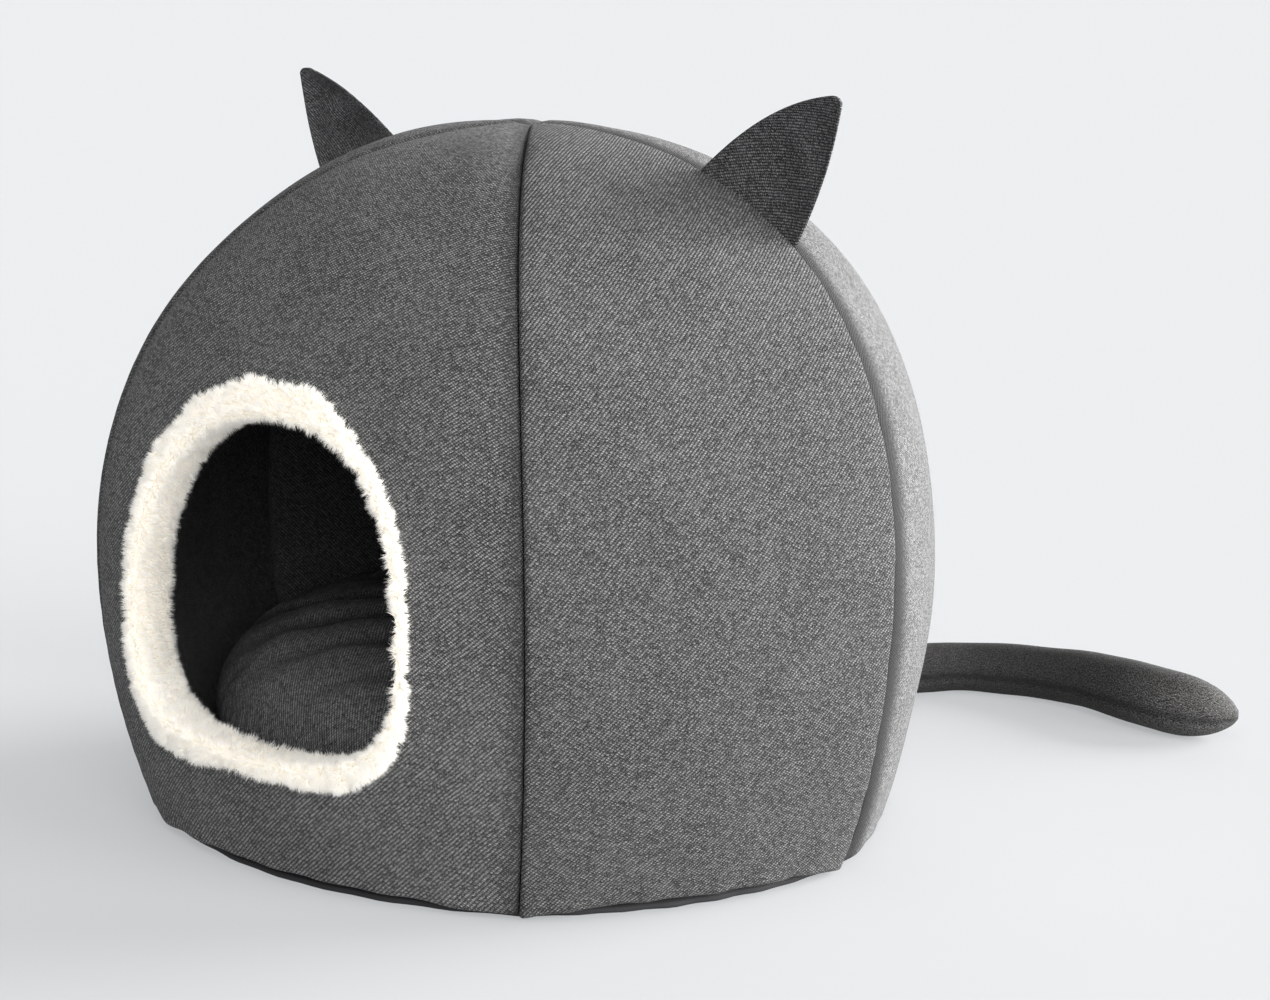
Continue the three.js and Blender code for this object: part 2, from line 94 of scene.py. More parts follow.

# Each panel starts at the seam of its own row. Fullness is a share of a round section's bulge, at the floor
# and at the crown. Columns and rows are the grid's, the rows below and above the widest height. Edges are the
# panel's first and second. Tone is how light its cloth is: lighter and darker copies of the one twill, as
# painted light and shade for how the light falls on each panel. Wale is how far the twill's ridges rise
# from level, in degrees.
PANELS = table(
    "node fullness columns rows edges tone wale",
    ("gore_front", (0.74, 0.28), 104, (44, 78), (EVEN_EDGE, SUNK_EDGE), 1.08, 41.0),
    ("gore_right_front", (0.66, 0.24), 72, (36, 70), (CRISP_EDGE, CRISP_EDGE), 0.73, 46.0),
    ("gore_right_back", (0.46, 0.3), 64, (32, 60), (SUNK_WIDE_EDGE, EVEN_EDGE), 1.12, 44.0),
    ("gore_back", (0.6, 0.28), 64, (32, 60), (EVEN_EDGE, EVEN_EDGE), 1.0, 44.0),
    ("gore_left_back", (0.6, 0.28), 64, (32, 60), (EVEN_EDGE, EVEN_EDGE), 1.0, 44.0),
    ("gore_left_front", (0.6, 0.3), 64, (32, 60), (EVEN_EDGE, EVEN_EDGE), 0.95, 44.0),
)
FRONT = 0
BACK = 3

# How far the cloth puffs up beside a seam's swell. That and the turns are full where the panel's half width
# is the given one, and fade out above it.
SEAM_TURN = {"puff": 0.7, "full_at": 30.0}
HEM_TURN = 3.0
HEM = {"lift": 5.0, "fade_height": 40.0, "power": 3.0}
CROWN_DIMPLE = {"depth": 2.6, "width": 9.0}
# Painted shade: how much darker the cloth is made inside the bed, where little light gets in.
INSIDE_PAINTED_SHADE = 0.5

# How far from a seam a panel's broad waves stay small, how far its puckers reach from a seam and from the
# hem, and how far apart the puckers of its two edges are drawn, so that they differ.
CLEAR_OF_SEAM = 9.0
SEAM_PUCKER_REACH = 6.0
HEM_PUCKER_REACH = 12.0
PUCKERS_APART = 80.0

# Every random relief: its height and the length of its waves, the seed of its draws and its number of waves.
# The creases' strength is a share instead of a height.
RELIEFS = {
    "panel": (0.55, 95.0, 10, 9),
    "seam_pucker": (0.3, 13.0, 20, 5),
    "hem_pucker": (0.6, 22.0, 30, 5),
    "flap": (1.2, 22.0, 41, 9),
    "roll": (0.35, 16.0, 42, 9),
    "swirl": (0.6, 9.0, 51, 7),
    "crease_wander": (3.0, 110.0, 60, 4),
    "crease_strength": (0.3, 140.0, 70, 4),
    "cushion_wrinkle": (0.5, 34.0, 81, 9),
    "rim_pucker": (0.7, 11.0, 82, 6),
    "ear_fold": (1.9, 46.0, 90, 9),
    "tail_pucker": (0.45, 9.0, 95, 9),
    "tail_lump": (0.45, 38.0, 96, 9),
    "base_rim": (0.5, 26.0, 97, 6),
}
WAVE_SPREAD = (0.75, 1.35)

# The clear opening between the pile: half a superellipse above its widest height. Below it are a left and a
# right quarter, each with its own power.
ENTRANCE = {
    "middle": -6.0,
    "half_width": 76.0,
    "widest_at": 110.7,
    "rise": 90.0,
    "drop": 49.7,
    "top_power": 2.37,
    "sill_power_left": 3.7,
    "sill_power_right": 2.9,
}
PILE = 5.4
# How far the plush band's cloth reaches over the wall, every 30 degrees from the right side on by way of the
# top, and how high it stands off the wall.
FLAP = [1.6, 2.2, 3.0, 11.0, 9.2, 4.8, 2.0, 2.8, 8.4, 3.6, 6.0, 3.6]
ROLL = 2.5


def lerp(a, b, share):
    """a at share 0, b at share 1 and straight between."""
    return a + (b - a) * share


def eased(share):
    """A share from 0 to 1 made to start and end level: 3 share^2 - 2 share^3."""
    return share**2 * (3 - 2 * share)


def fade(distance, reach, power=1):
    """A share that is 1 at no distance and falls off as exp(-(distance / reach)^power)."""
    return np.exp(-((distance / reach) ** power))


def through(values, share):
    """The parabola through three values, at share 0, one half and 1."""
    floor, middle, crown = values
    return (
        floor * (1 - share) * (1 - 2 * share)
        + 4 * middle * share * (1 - share)
        + crown * share * (2 * share - 1)
    )


def full_turn(count):
    """Angles in even steps once round, from 0."""
    return np.linspace(0, 2 * np.pi, count, endpoint=False)


def relief(name, x, y, number=0):
    """A gentle random relief of about its own height up and down, drawn anew for each number.

    It is the sum of a few sine waves, each with a random direction and phase and a length spread about the
    given one, divided by the root of their number.
    """
    height, length, seed, count = RELIEFS[name]
    draw = np.random.default_rng(seed + number)
    total = np.zeros(np.broadcast(x, y).shape)
    for _ in range(count):
        turn, phase = draw.uniform(0, 2 * np.pi, 2)
        pitch = length * draw.uniform(*WAVE_SPREAD)
        total += np.sin(2 * np.pi * (x * np.cos(turn) + y * np.sin(turn)) / pitch + phase)
    return height * (total / math.sqrt(count))


def unit(vectors):
    """Vectors along the last axis, each divided by its length."""
    return vectors / np.maximum(np.linalg.norm(vectors, axis=-1, keepdims=True), 1e-12)


def run_length(points, axis=0):
    """How far along its row each point lies from the row's first one, with rows along an axis of the grid."""
    steps = np.linalg.norm(np.diff(points, axis=axis), axis=-1)
    return np.insert(np.cumsum(steps, axis=axis), 0, 0.0, axis=axis)


def outline(z):
    """The dome's radius at a height and the outward normal of that curve, as (radius, out, up).

    Below the widest height the radius falls with the square of the way down. Above it, radius and rise lie
    on a superellipse: (radius / widest)^p + (rise / climb)^p = 1.
    """
    radius, foot, power = DOME["radius"], DOME["foot_draw_in"], DOME["crown_power"]
    climb = DOME["height"] - DOME["widest_at"]
    down = np.clip((DOME["widest_at"] - z) / DOME["widest_at"], 0, None)
    rise = np.clip((z - DOME["widest_at"]) / climb, 0, 1)
    share = np.clip(1 - rise**power, 0, None) ** (1 / power)
    below = z <= DOME["widest_at"]
    out = np.where(below, 1.0, share ** (power - 1) / radius)
    up = np.where(below, -2 * foot * down / DOME["widest_at"], rise ** (power - 1) / climb)
    length = np.hypot(out, up)
    return np.where(below, radius - foot * down**2, radius * share), out / length, up / length


def seam_azimuth(index, share):
    """The azimuth of a seam in radians; seams past the last one go on round the dome."""
    turns, seam = divmod(index, len(SEAMS))
    return np.radians(through(SEAMS[seam]["azimuth"], share) + 360 * turns)


def seam_point(index, z, depth):
    """A point of a seam at height z, moved in by depth along the outline's normal.

    The dome leans with a power of its height.
    """
    share = np.clip(z / DOME["height"], 0, 1)
    radius, out, up = outline(z)
    reach = through(SEAMS[index % len(SEAMS)]["reach"], share) * (radius - depth * out)
    azimuth = seam_azimuth(index, share)
    lean = LEAN["at_crown"] * share ** LEAN["power"]
    return np.stack([reach * np.sin(azimuth) + lean, -reach * np.cos(azimuth), z - depth * up], -1)


def panel_point(panel, across, z, depth):
    """A point of a panel: across from -1 at its first seam to 1 at its second, and depth inwards.

    The section at each height is the chord between the two seams plus a parabola, whose height is a share
    of the bulge that a round section would have.
    """
    across, z, depth = np.broadcast_arrays(across, z, depth)
    share = np.clip(z / DOME["height"], 0, 1)
    first, second = seam_point(panel, z, depth), seam_point(panel + 1, z, depth)
    chord = unit(second - first)
    half = np.linalg.norm(second - first, axis=-1) / 2 - SEAM_GAP / 2
    outwards = np.stack([chord[..., 1], -chord[..., 0], np.zeros_like(z)], -1)
    spread = (seam_azimuth(panel + 1, share) - seam_azimuth(panel, share)) / 2
    radius, out, _ = outline(z)
    fullness = lerp(*PANELS[panel]["fullness"], share)
    bulge = (radius - depth * out) * (1 - np.cos(spread)) * fullness * (1 - across**2)
    return (first + second) / 2 + chord * (across * half)[..., None] + outwards * bulge[..., None]


def seam_distance(panel, across, z):
    """Half the chord between a panel's seams at a height, and how far a place lies from the nearer seam."""
    half = np.linalg.norm(seam_point(panel + 1, z, 0.0) - seam_point(panel, z, 0.0), axis=-1) / 2
    return half, (1 - np.abs(across)) * half


def edge_at(panel, across):
    """The numbers of a panel's edges, changing smoothly from its first seam to its second."""
    first, second = PANELS[panel]["edges"]
    share = eased((across + 1) / 2)
    return {key: lerp(first[key], second[key], share) for key in first}


def face_y(panel, x, z, depth):
    """The Y of a panel's surface over a place in the XZ plane.

    Each step moves the place on the panel by what its point still misses in X and Z.
    """
    steps = 14
    side = -1.0 if panel == BACK else 1.0
    share = np.clip(z / DOME["height"], 0, 1)
    half = outline(z)[0] * np.sin((seam_azimuth(panel + 1, share) - seam_azimuth(panel, share)) / 2)
    across, height = side * x / half, z
    for _ in range(steps):
        found = panel_point(panel, across, height, depth)
        across = across + side * (x - found[..., 0]) / half
        height = height + z - found[..., 2]
    return found[..., 1]


class Field:
    """A shader socket. Sums on it add Math nodes, so that a pattern reads as a formula."""

    def __init__(self, maker, socket):
        self.maker = maker
        self.socket = socket

    def math(self, operation, *others):
        node = self.maker.tree.nodes.new("ShaderNodeMath")
        node.operation = operation
        for slot, value in zip(node.inputs, (self, *others)):
            self.maker.feed(slot, value)
        return Field(self.maker, node.outputs[0])

    def __add__(self, other):
        return self.math("ADD", other)

    def __sub__(self, other):
        return self.math("SUBTRACT", other)

    def __rsub__(self, other):
        return (self * -1.0).math("ADD", other)

    def __mul__(self, other):
        return self.math("MULTIPLY", other)

    def __truediv__(self, other):
        return self.math("DIVIDE", other)

    __radd__ = __add__
    __rmul__ = __mul__


class Finish:
    """A material whose nodes are made by add() and whose main shader takes values through set()."""

    def __init__(self, name):
        self.material = bpy.data.materials.new(name)
        self.material.use_nodes = True
        self.tree = self.material.node_tree
        self.shader = self.tree.nodes["Principled BSDF"]

    def feed(self, socket, value):
        if isinstance(value, Field):
            self.tree.links.new(value.socket, socket)
        else:
            socket.default_value = value

    def add(self, kind, settings=None, inputs=None, output=0):
        """A node of a kind, its settings first, then the values or links of its sockets."""
        node = self.tree.nodes.new(kind)
        for name, value in (settings or {}).items():
            setattr(node, name, value)
        for name, value in (inputs or {}).items():
            self.feed(node.inputs[name], value)
        return Field(self, node.outputs[output])

    def set(self, **values):
        """Values of the main shader; a word's underscores stand for the spaces in the socket's name."""
        for name, value in values.items():
            self.feed(self.shader.inputs[name.replace("_", " ")], value)

    def attribute(self, name):
        """A vector kept on the piece's own points, with its three numbers."""
        vector = self.add("ShaderNodeAttribute", {"attribute_name": name}, output=1)
        parts = [self.add("ShaderNodeSeparateXYZ", inputs={"Vector": vector}, output=i) for i in range(3)]
        return vector, parts

    def noise(self, vector, scale, detail=2.0, roughness=0.5):
        """Smooth noise of about 0.2 to 0.8."""
        return self.add(
            "ShaderNodeTexNoise",
            inputs={"Vector": vector, "Scale": scale, "Detail": detail, "Roughness": roughness},
        )

    def mix(self, share, first, second):
        """A colour between two, at a share from 0 to 1."""
        node = self.tree.nodes.new("ShaderNodeMix")
        node.data_type = "RGBA"
        colours = [s for s in node.inputs if s.type == "RGBA"]
        self.feed(node.inputs[0], share)
        self.feed(colours[0], first)
        self.feed(colours[1], second)
        return Field(self, next(s for s in node.outputs if s.type == "RGBA"))

    def bump(self, height, depth):
        """A surface normal from a height of 0 to 1 that stands for a depth in millimetres."""
        return self.add("ShaderNodeBump", inputs={"Height": height, "Distance": depth * MM, "Strength": 1.0})


# Each kind of twill: its tint, how bright its dark and its light yarn are, the pitch of its wales in
# millimetres, how strongly its yarns and its flecks differ, and how ridged it is.
CLOTHS = {
    "wall": ((1.0, 1.0, 0.995), 0.015, 0.38, 1.465, 0.6, 5.2, 1.0),
    "ear": ((1.0, 1.0, 1.02), 0.007, 0.25, 1.33, 0.6, 5.6, 1.0),
    "tail": ((1.02, 1.0, 0.97), 0.005, 0.34, 1.1, 0.5, 6.5, 0.2),
    "cushion": ((1.0, 1.01, 1.05), 0.005, 0.32, 1.465, 0.45, 3.2, 1.0),
}
TAIL_WALE = 45.0
CUSHION_WALE = 116.0
# How long a yarn shows, as a share of the pitch. Slant is how far it shifts along while it crosses its wale,
# and set_off how far the yarns of the next wale are shifted, both as shares of a yarn.
YARN = {"length": 0.72, "slant": 0.6, "set_off": 0.37}
# The noises' scales, for each millimetre. The wales drift by a share of their pitch.
WALE_DRIFT = {"scale": 0.045, "detail": 1.0, "by": 0.9}
FLECKS = {"scale": 1.5, "detail": 3.0, "roughness": 0.8}
CLOUDS = {"scale": 0.02, "by": 0.12}
# The light yarn: its mean tone, how much shows all over, how much of the rest goes by the yarns' own
# roundness, and the height that takes the ridges' place where there are none.
LIGHT_YARN = {"tone": 0.44, "all_over": 0.03, "by_yarn": 0.7, "level": 0.64}
# The depth of the weave in millimetres, how much of it is the yarns' roundness, and how rough dark and light
# yarn are.
WEAVE = {"depth": 0.32, "by_yarn": 0.28, "rough": 0.86, "rougher_light": 0.1}


def twill(name, wale, dark, light, pitch, yarns, heather, ridged):
    """Melange twill on the piece's cloth attribute, which is its flat cloth in millimetres.

    Across the wales the height is half a sine wave to a pitch, and less of it where the cloth is less
    ridged. Along them it is cut into yarns, each with its own random tone. The tone and the height set how
    much of the light yarn shows over the dark, and the piece's painted shade attribute hides a share of
    that, as painted shade at seams, inside the bed, in the cushion's creases and along the tail.
    """
    finish = Finish(name)
    cloth, (x, y, _) = finish.attribute("cloth")
    rise, run = math.sin(math.radians(wale)), math.cos(math.radians(wale))
    drift = finish.noise(cloth, WALE_DRIFT["scale"], WALE_DRIFT["detail"]) * WALE_DRIFT["by"]
    across = (y * run - x * rise) / pitch + drift
    along = (x * run + y * rise) / (YARN["length"] * pitch)
    row = across.math("FLOOR")
    ridge = (across.math("FRACT") * math.pi).math("SINE") * ridged + (1 - ridged) * LIGHT_YARN["level"]
    slant = along + across.math("FRACT") * YARN["slant"] + row * YARN["set_off"]
    twist = (slant * (2 * math.pi)).math("SINE") * 0.5 + 0.5
    place = finish.add("ShaderNodeCombineXYZ", inputs={"X": row, "Y": slant.math("FLOOR")})
    yarn = finish.add("ShaderNodeTexWhiteNoise", {"noise_dimensions": "2D"}, {"Vector": place})
    fleck = finish.noise(cloth, **FLECKS)
    cloud = finish.noise(cloth, CLOUDS["scale"])
    tone = (yarn - 0.5) * yarns + (fleck - 0.5) * heather + LIGHT_YARN["tone"]
    shown = (ridge * twist * LIGHT_YARN["by_yarn"] + ridge * (1 - LIGHT_YARN["by_yarn"])) * tone
    shown = shown + (cloud - 0.5) * CLOUDS["by"] + LIGHT_YARN["all_over"]
    # Painted shade: the cloth is darker where the piece's painted shade attribute says.
    _, (shade, _, _) = finish.attribute("shade")
    shown = finish.add("ShaderNodeClamp", inputs={"Value": shown * (1 - shade)})
    height = ridge * (1 - WEAVE["by_yarn"] + twist * WEAVE["by_yarn"])
    finish.set(Base_Color=finish.mix(shown, dark, light), Specular_IOR_Level=0.2)
    finish.set(Roughness=WEAVE["rough"] + shown * WEAVE["rougher_light"])
    finish.set(Normal=finish.bump(height, WEAVE["depth"]))
    return finish.material


def cloth_of(kind, name, wale, tone=1.0):
    """The twill of a kind of cloth, made lighter or darker by a tone, which on the panels is painted light
    and shade.
    """
    tint, dark, light, *weave = CLOTHS[kind]
    dark, light = ((*(tone * yarn * c for c in tint), 1.0) for yarn in (dark, light))
    return twill(name, wale, dark, light, *weave)


# The pile's colours at its root and tip, the root's darker colour being painted shade, how much of its colour
# goes by each lock's own tone, how strongly it glows, a glow that is painted light, and how much of that glow
# is painted shade in the wall.
PLUSH = {"root": (0.6, 0.545, 0.455, 1.0), "tip": (0.97, 0.955, 0.915, 1.0), "by_tone": 0.25}
PAINTED_GLOW = {"strength": 0.4, "painted_shade_in_wall": 0.45}


def plush():
    """Cream pile, darker and warmer at its root than at its tip, with a tone of its own for each lock.
    The darker root is painted shade among the strands.

    A faint glow of the same colours is painted light: it stands for the light that goes through the fine
    strands. It fades through the wall, towards the inside of the bed, as painted shade.
    """
    finish = Finish("plush")
    _, (height, tone, depth) = finish.attribute("strand")
    share = height * (1 - PLUSH["by_tone"]) + tone * PLUSH["by_tone"]
    colour = finish.mix(share, PLUSH["root"], PLUSH["tip"])
    # Painted light: the pile glows in its own colours, and painted shade dims the glow through the wall.
    glow = finish.mix(depth * PAINTED_GLOW["painted_shade_in_wall"], colour, (0.0, 0.0, 0.0, 1.0))
    finish.set(Base_Color=colour, Emission_Color=glow, Emission_Strength=PAINTED_GLOW["strength"], Roughness=0.95)
    finish.set(Sheen_Weight=0.3, Sheen_Roughness=0.5, Specular_IOR_Level=0.2)
    return finish.material


# The base cloth's felt: its colour, how much lighter its fibres are and how deep they lie, and their noise.
FELT = {"colour": (0.012, 0.012, 0.013), "lighter": 2.2, "depth": 0.15}
FIBRES = {"scale": 1.1, "detail": 4.0, "roughness": 0.7}


def nonwoven():
    """Thin black pressed felt: fine fibres as a small bump and a slight change of tone."""
    finish = Finish("felt_base")
    cloth, _ = finish.attribute("cloth")
    fibres = finish.noise(cloth, **FIBRES)
    dark, light = ((*(tone * c for c in FELT["colour"]), 1.0) for tone in (1.0, FELT["lighter"]))
    finish.set(Base_Color=finish.mix(fibres, dark, light), Roughness=0.8 + fibres * 0.15)
    finish.set(Normal=finish.bump(fibres, FELT["depth"]))
    return finish.material


def new_piece(name, points, faces, material, attributes=None):
    """A smooth mesh piece from points in millimetres and lists of faces, each an array of corner numbers.

    An attribute with one number for a point is kept as a vector of three alike.
    """
    mesh = bpy.data.meshes.new(name)
    mesh.vertices.add(len(points))
    mesh.vertices.foreach_set("co", (points * MM).astype(np.float32).ravel())
    corners = np.concatenate([f.ravel() for f in faces]).astype(np.int32)
    sizes = np.concatenate([np.full(len(f), f.shape[1]) for f in faces])
    mesh.loops.add(len(corners))
    mesh.loops.foreach_set("vertex_index", corners)
    mesh.polygons.add(len(sizes))
    mesh.polygons.foreach_set("loop_start", (np.cumsum(sizes) - sizes).astype(np.int32))
    mesh.polygons.foreach_set("use_smooth", np.ones(len(sizes), bool))
    mesh.update(calc_edges=True)
    for key, values in (attributes or {}).items():
        layer = mesh.attributes.new(key, "FLOAT_VECTOR", "POINT")
        vectors = values if values.ndim == 2 else np.repeat(values[:, None], 3, axis=1)
        layer.data.foreach_set("vector", vectors.astype(np.float32).ravel())
    mesh.materials.append(material)
    piece = bpy.data.objects.new(name, mesh)
    bpy.context.scene.collection.objects.link(piece)
    return piece


def dress(piece, node=None):
    """The piece rides on the bed; it may stand for a CAD node, which is then hidden."""
    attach(piece, BODY)
    if node:
        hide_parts(node)


def grid_quads(rows, columns, closed_columns=False, closed_rows=False):
    """Quads between neighbours of a grid of points, counter-clockwise with columns right and rows up."""
    i = np.arange(rows if closed_rows else rows - 1)[:, None]
    j = np.arange(columns if closed_columns else columns - 1)[None, :]
    right, above = (j + 1) % columns, (i + 1) % rows
    quads = [i * columns + j, i * columns + right, above * columns + right, above * columns + j]
    return np.stack(np.broadcast_arrays(*quads), -1)


def shell(outer, inner, kept=None):
    """The points and faces of a closed shell between two grids of points of the same size.

    Cells that aren't kept are left open, and every edge between a kept cell and an open one, or the grid's
    own edge, gets a wall from the outer grid to the inner one.
    """
    rows, columns = outer.shape[:2]
    if kept is None:
        kept = np.ones((rows - 1, columns - 1), bool)
    quads = grid_quads(rows, columns)
    layer = rows * columns
    around = np.pad(kept, 1)
    beside = [around[:-2, 1:-1], around[1:-1, 2:], around[2:, 1:-1], around[1:-1, :-2]]
    walls = []
    for edge, neighbour in enumerate(beside):
        ends = quads[kept & ~neighbour][:, [edge, (edge + 1) % 4]]
        walls.append(np.stack([ends[:, 1], ends[:, 0], ends[:, 0] + layer, ends[:, 1] + layer], -1))
    points = np.concatenate([outer.reshape(-1, 3), inner.reshape(-1, 3)])
    return points, [quads[kept], quads[kept][:, ::-1] + layer, *walls]


def used_only(points, faces, *values):
    """Drops the points that no face uses, and the same rows of the values that go with them."""
    used = np.unique(np.concatenate([f.ravel() for f in faces]))
    number = np.zeros(len(points), int)
    number[used] = np.arange(len(used))
    return points[used], [number[f] for f in faces], *[v[used] for v in values]


def flat_cloth(grid):
    """Where each point of a grid lies on its flat cloth, in millimetres.

    Across, it is the length along its row from the middle column. Up, it is the length along the middle
    column from the first row.
    """
    middle = grid.shape[1] // 2
    across = run_length(grid, axis=1)
    across -= across[:, middle : middle + 1]
    up = run_length(grid[:, middle])[:, None] + 0 * across
    return np.stack([across, up, 0 * up], -1)


def loft(rings):
    """The points and faces of a closed body from rings of points, with both ends closed on their centres."""
    count, around = rings.shape[:2]
    quads = grid_quads(count, around, closed_columns=True).reshape(-1, 4)
    j = np.arange(around)
    k = (j + 1) % around
    first, last = count * around, count * around + 1
    start = np.stack([np.full(around, first), k, j], -1)
    end = np.stack([np.full(around, last), (count - 1) * around + j, (count - 1) * around + k], -1)
    hubs = rings[[0, -1]].mean(axis=1)
    return np.concatenate([rings.reshape(-1, 3), hubs]), [quads, start, end]


def smooth_through(rows, steps, closed=False):
    """Points on smooth curves through rows of points: cubic pieces whose slopes are their neighbours'."""
    count = len(rows)
    place = np.linspace(0, count if closed else count - 1, steps, endpoint=not closed)
    i = np.minimum(place.astype(int), count - (1 if closed else 2))
    t = (place - i).reshape((-1,) + (1,) * (rows.ndim - 1))
    at = (lambda k: rows[k % count]) if closed else (lambda k: rows[np.clip(k, 0, count - 1)])
    before, start, end, after = at(i - 1), at(i), at(i + 1), at(i + 2)
    leave, arrive = (end - before) / 2, (after - start) / 2
    return (
        start * (2 * t**3 - 3 * t**2 + 1)
        + leave * (t**3 - 2 * t**2 + t)
        + end * (3 * t**2 - 2 * t**3)
        + arrive * (t**3 - t**2)
    )


def quarter_round(distance, radius):
    """How deep a rounded edge lies at a distance from its end: a quarter circle, flat past its radius."""
    inside = np.clip(1 - distance / radius, 0, 1)
    return radius * (1 - np.sqrt(1 - inside**2))


def row_heights(below, above):
    """Heights of a panel's rows: crowded at the hem, wider above it, and closing in at the crown."""
    crowding, power = 1.6, DOME["crown_power"]
    climb = DOME["height"] - DOME["widest_at"]
    foot = DOME["widest_at"] * np.linspace(0, 1, below + 1) ** crowding
    rise = np.sin(np.linspace(0, np.pi / 2, above + 1)[1:-1]) ** (2 / power)
    last = (1 - (CROWN_HOLE / DOME["radius"]) ** power) ** (1 / power)
    return np.concatenate([foot, DOME["widest_at"] + climb * np.append(rise, last)])


def column_places(columns):
    """Places across a panel from -1 to 1, closer together beside the seams."""
    crowding = 1.8
    even = np.linspace(-1, 1, columns + 1)
    return np.sign(even) * (1 - (1 - np.abs(even)) ** crowding)


def panel_depth(panel, across, z):
    """How far in a panel's outside lies from its smooth form.

    It turns down into both seams and under at the hem, sinks into the dimple at the crown, and has broad
    waves, short puckers beside the seams and puckers above the hem.
    """
    half, from_seam = seam_distance(panel, across, z)
    x, closing = across * half, np.minimum(1, half / SEAM_TURN["full_at"])
    edge = edge_at(panel, across)
    turn = quarter_round(from_seam, edge["radius"]) * edge["depth"] / edge["radius"]
    turn += (edge["swell"] + SEAM_TURN["puff"]) * fade(from_seam, edge["reach"]) - SEAM_TURN["puff"]
    hem = quarter_round(z, HEM_TURN)
    crown = CROWN_DIMPLE["depth"] * fade(outline(z)[0], CROWN_DIMPLE["width"], 2)
    edge_line = np.sign(x) * PUCKERS_APART / 2
    raised = relief("panel", x, z, panel) * (1 - fade(from_seam, CLEAR_OF_SEAM))
    raised += relief("seam_pucker", edge_line, z, panel) * fade(from_seam, SEAM_PUCKER_REACH)
    raised += relief("hem_pucker", x, 0.0, panel) * fade(z, HEM_PUCKER_REACH)
    return turn * closing + hem + crown - raised * closing


def hem_lift(across, z):
    """How far the hem is lifted off the floor between the seams, fading out upwards."""
    left = np.clip(1 - z / HEM["fade_height"], 0, None)
    return HEM["lift"] * (1 - np.abs(across) ** HEM["power"]) * left**2


def panel_grids(panel):
    """The outer and inner points of a panel, and the flat cloth and the painted shade of its outside, darker
    beside the seams.
    """
    z = row_heights(*PANELS[panel]["rows"])[:, None]
    across = column_places(PANELS[panel]["columns"])[None, :]
    z, across = np.broadcast_arrays(z, across)
    lifted = z + hem_lift(across, z)
    outer = panel_point(panel, across, lifted, panel_depth(panel, across, z))
    inner = panel_point(panel, across, lifted, WALL)
    edge = edge_at(panel, across)
    from_seam = seam_distance(panel, across, z)[1]
    # Painted shade: the cloth is darker beside the seams, where less light gets in.
    shade = edge["shade"] * fade(from_seam, edge["shade_reach"], edge["shade_power"])
    return outer, inner, flat_cloth(outer), shade


def entrance_form(left, above, margin):
    """The half width, the height and the power of the entrance's outline, grown by a margin.

    Above its widest height it has one height and one power. Each quarter below has its own power.
    """
    height = np.where(above, ENTRANCE["rise"], ENTRANCE["drop"]) + margin
    below = np.where(left, ENTRANCE["sill_power_left"], ENTRANCE["sill_power_right"])
    return ENTRANCE["half_width"] + margin, height, np.where(above, ENTRANCE["top_power"], below)


def entrance_level(x, z, margin):
    """How far out a place lies in units of the entrance's outline: 1 on the outline grown by a margin.

    It is the superellipse's own distance: (|x/w|^p + |z/h|^p)^(1/p), with its own h and p above and below.
    """
    x, up = x - ENTRANCE["middle"], z - ENTRANCE["widest_at"]
    width, height, power = entrance_form(x < 0, up >= 0, margin)
    return (np.abs(x / width) ** power + np.abs(up / height) ** power) ** (1 / power)


def entrance_edge(angle):
    """The entrance's cut edge at an angle round it: x, z, and the outward direction there."""
    c, s = np.cos(angle), np.sin(angle)
    width, height, power = entrance_form(c < 0, s >= 0, PILE)
    across, up = np.abs(c) ** (2 / power), np.abs(s) ** (2 / power)
    out = [np.sign(c) * across ** (power - 1) / width, np.sign(s) * up ** (power - 1) / height]
    out_x, out_z = unit(np.stack(out, -1)).T
    x = ENTRANCE["middle"] + np.sign(c) * across * width
    z = ENTRANCE["widest_at"] + np.sign(s) * up * height
    return x, z, out_x, out_z


def cut_entrance(outer, inner, cloth):
    """Opens the entrance in the front panel's grids and returns which cells are kept.

    Cells whose middle lies inside the cut edge are left open, and the points round them move straight out
    from the entrance's middle onto the edge. Near it the inner points lie straight behind the outer ones.
    """
    near, far = 1.25, 1.7
    middle = np.array([ENTRANCE["middle"], ENTRANCE["widest_at"]])
    faces_front = outer[..., 1] < 0
    level = np.where(faces_front, entrance_level(outer[..., 0], outer[..., 2], PILE), np.inf)
    centres = (outer[1:, 1:] + outer[1:, :-1] + outer[:-1, 1:] + outer[:-1, :-1]) / 4
    kept = entrance_level(centres[..., 0], centres[..., 2], PILE) > 1
    sides = (slice(0, -1), slice(1, None))
    beside_kept, beside_open = (
        np.any([np.pad(cells, 1)[i, j] for i in sides for j in sides], axis=0) for cells in (kept, ~kept)
    )
    rim = beside_kept & beside_open
    place = outer[..., [0, 2]]
    moved = middle + (place[rim] - middle) / level[rim][:, None]
    cloth[rim, :2] += moved - place[rim]
    outer[rim, 0], outer[rim, 2] = moved.T
    outer[rim, 1] = face_y(FRONT, *moved.T, 0.0)
    behind = level < far
    x, z = outer[behind][:, 0], outer[behind][:, 2]
    straight = np.stack([x, face_y(FRONT, x, z, WALL), z], -1)
    share = np.clip((far - level[behind]) / (far - near), 0, 1)[:, None]
    inner[behind] = lerp(inner[behind], straight, eased(share))
    return kept


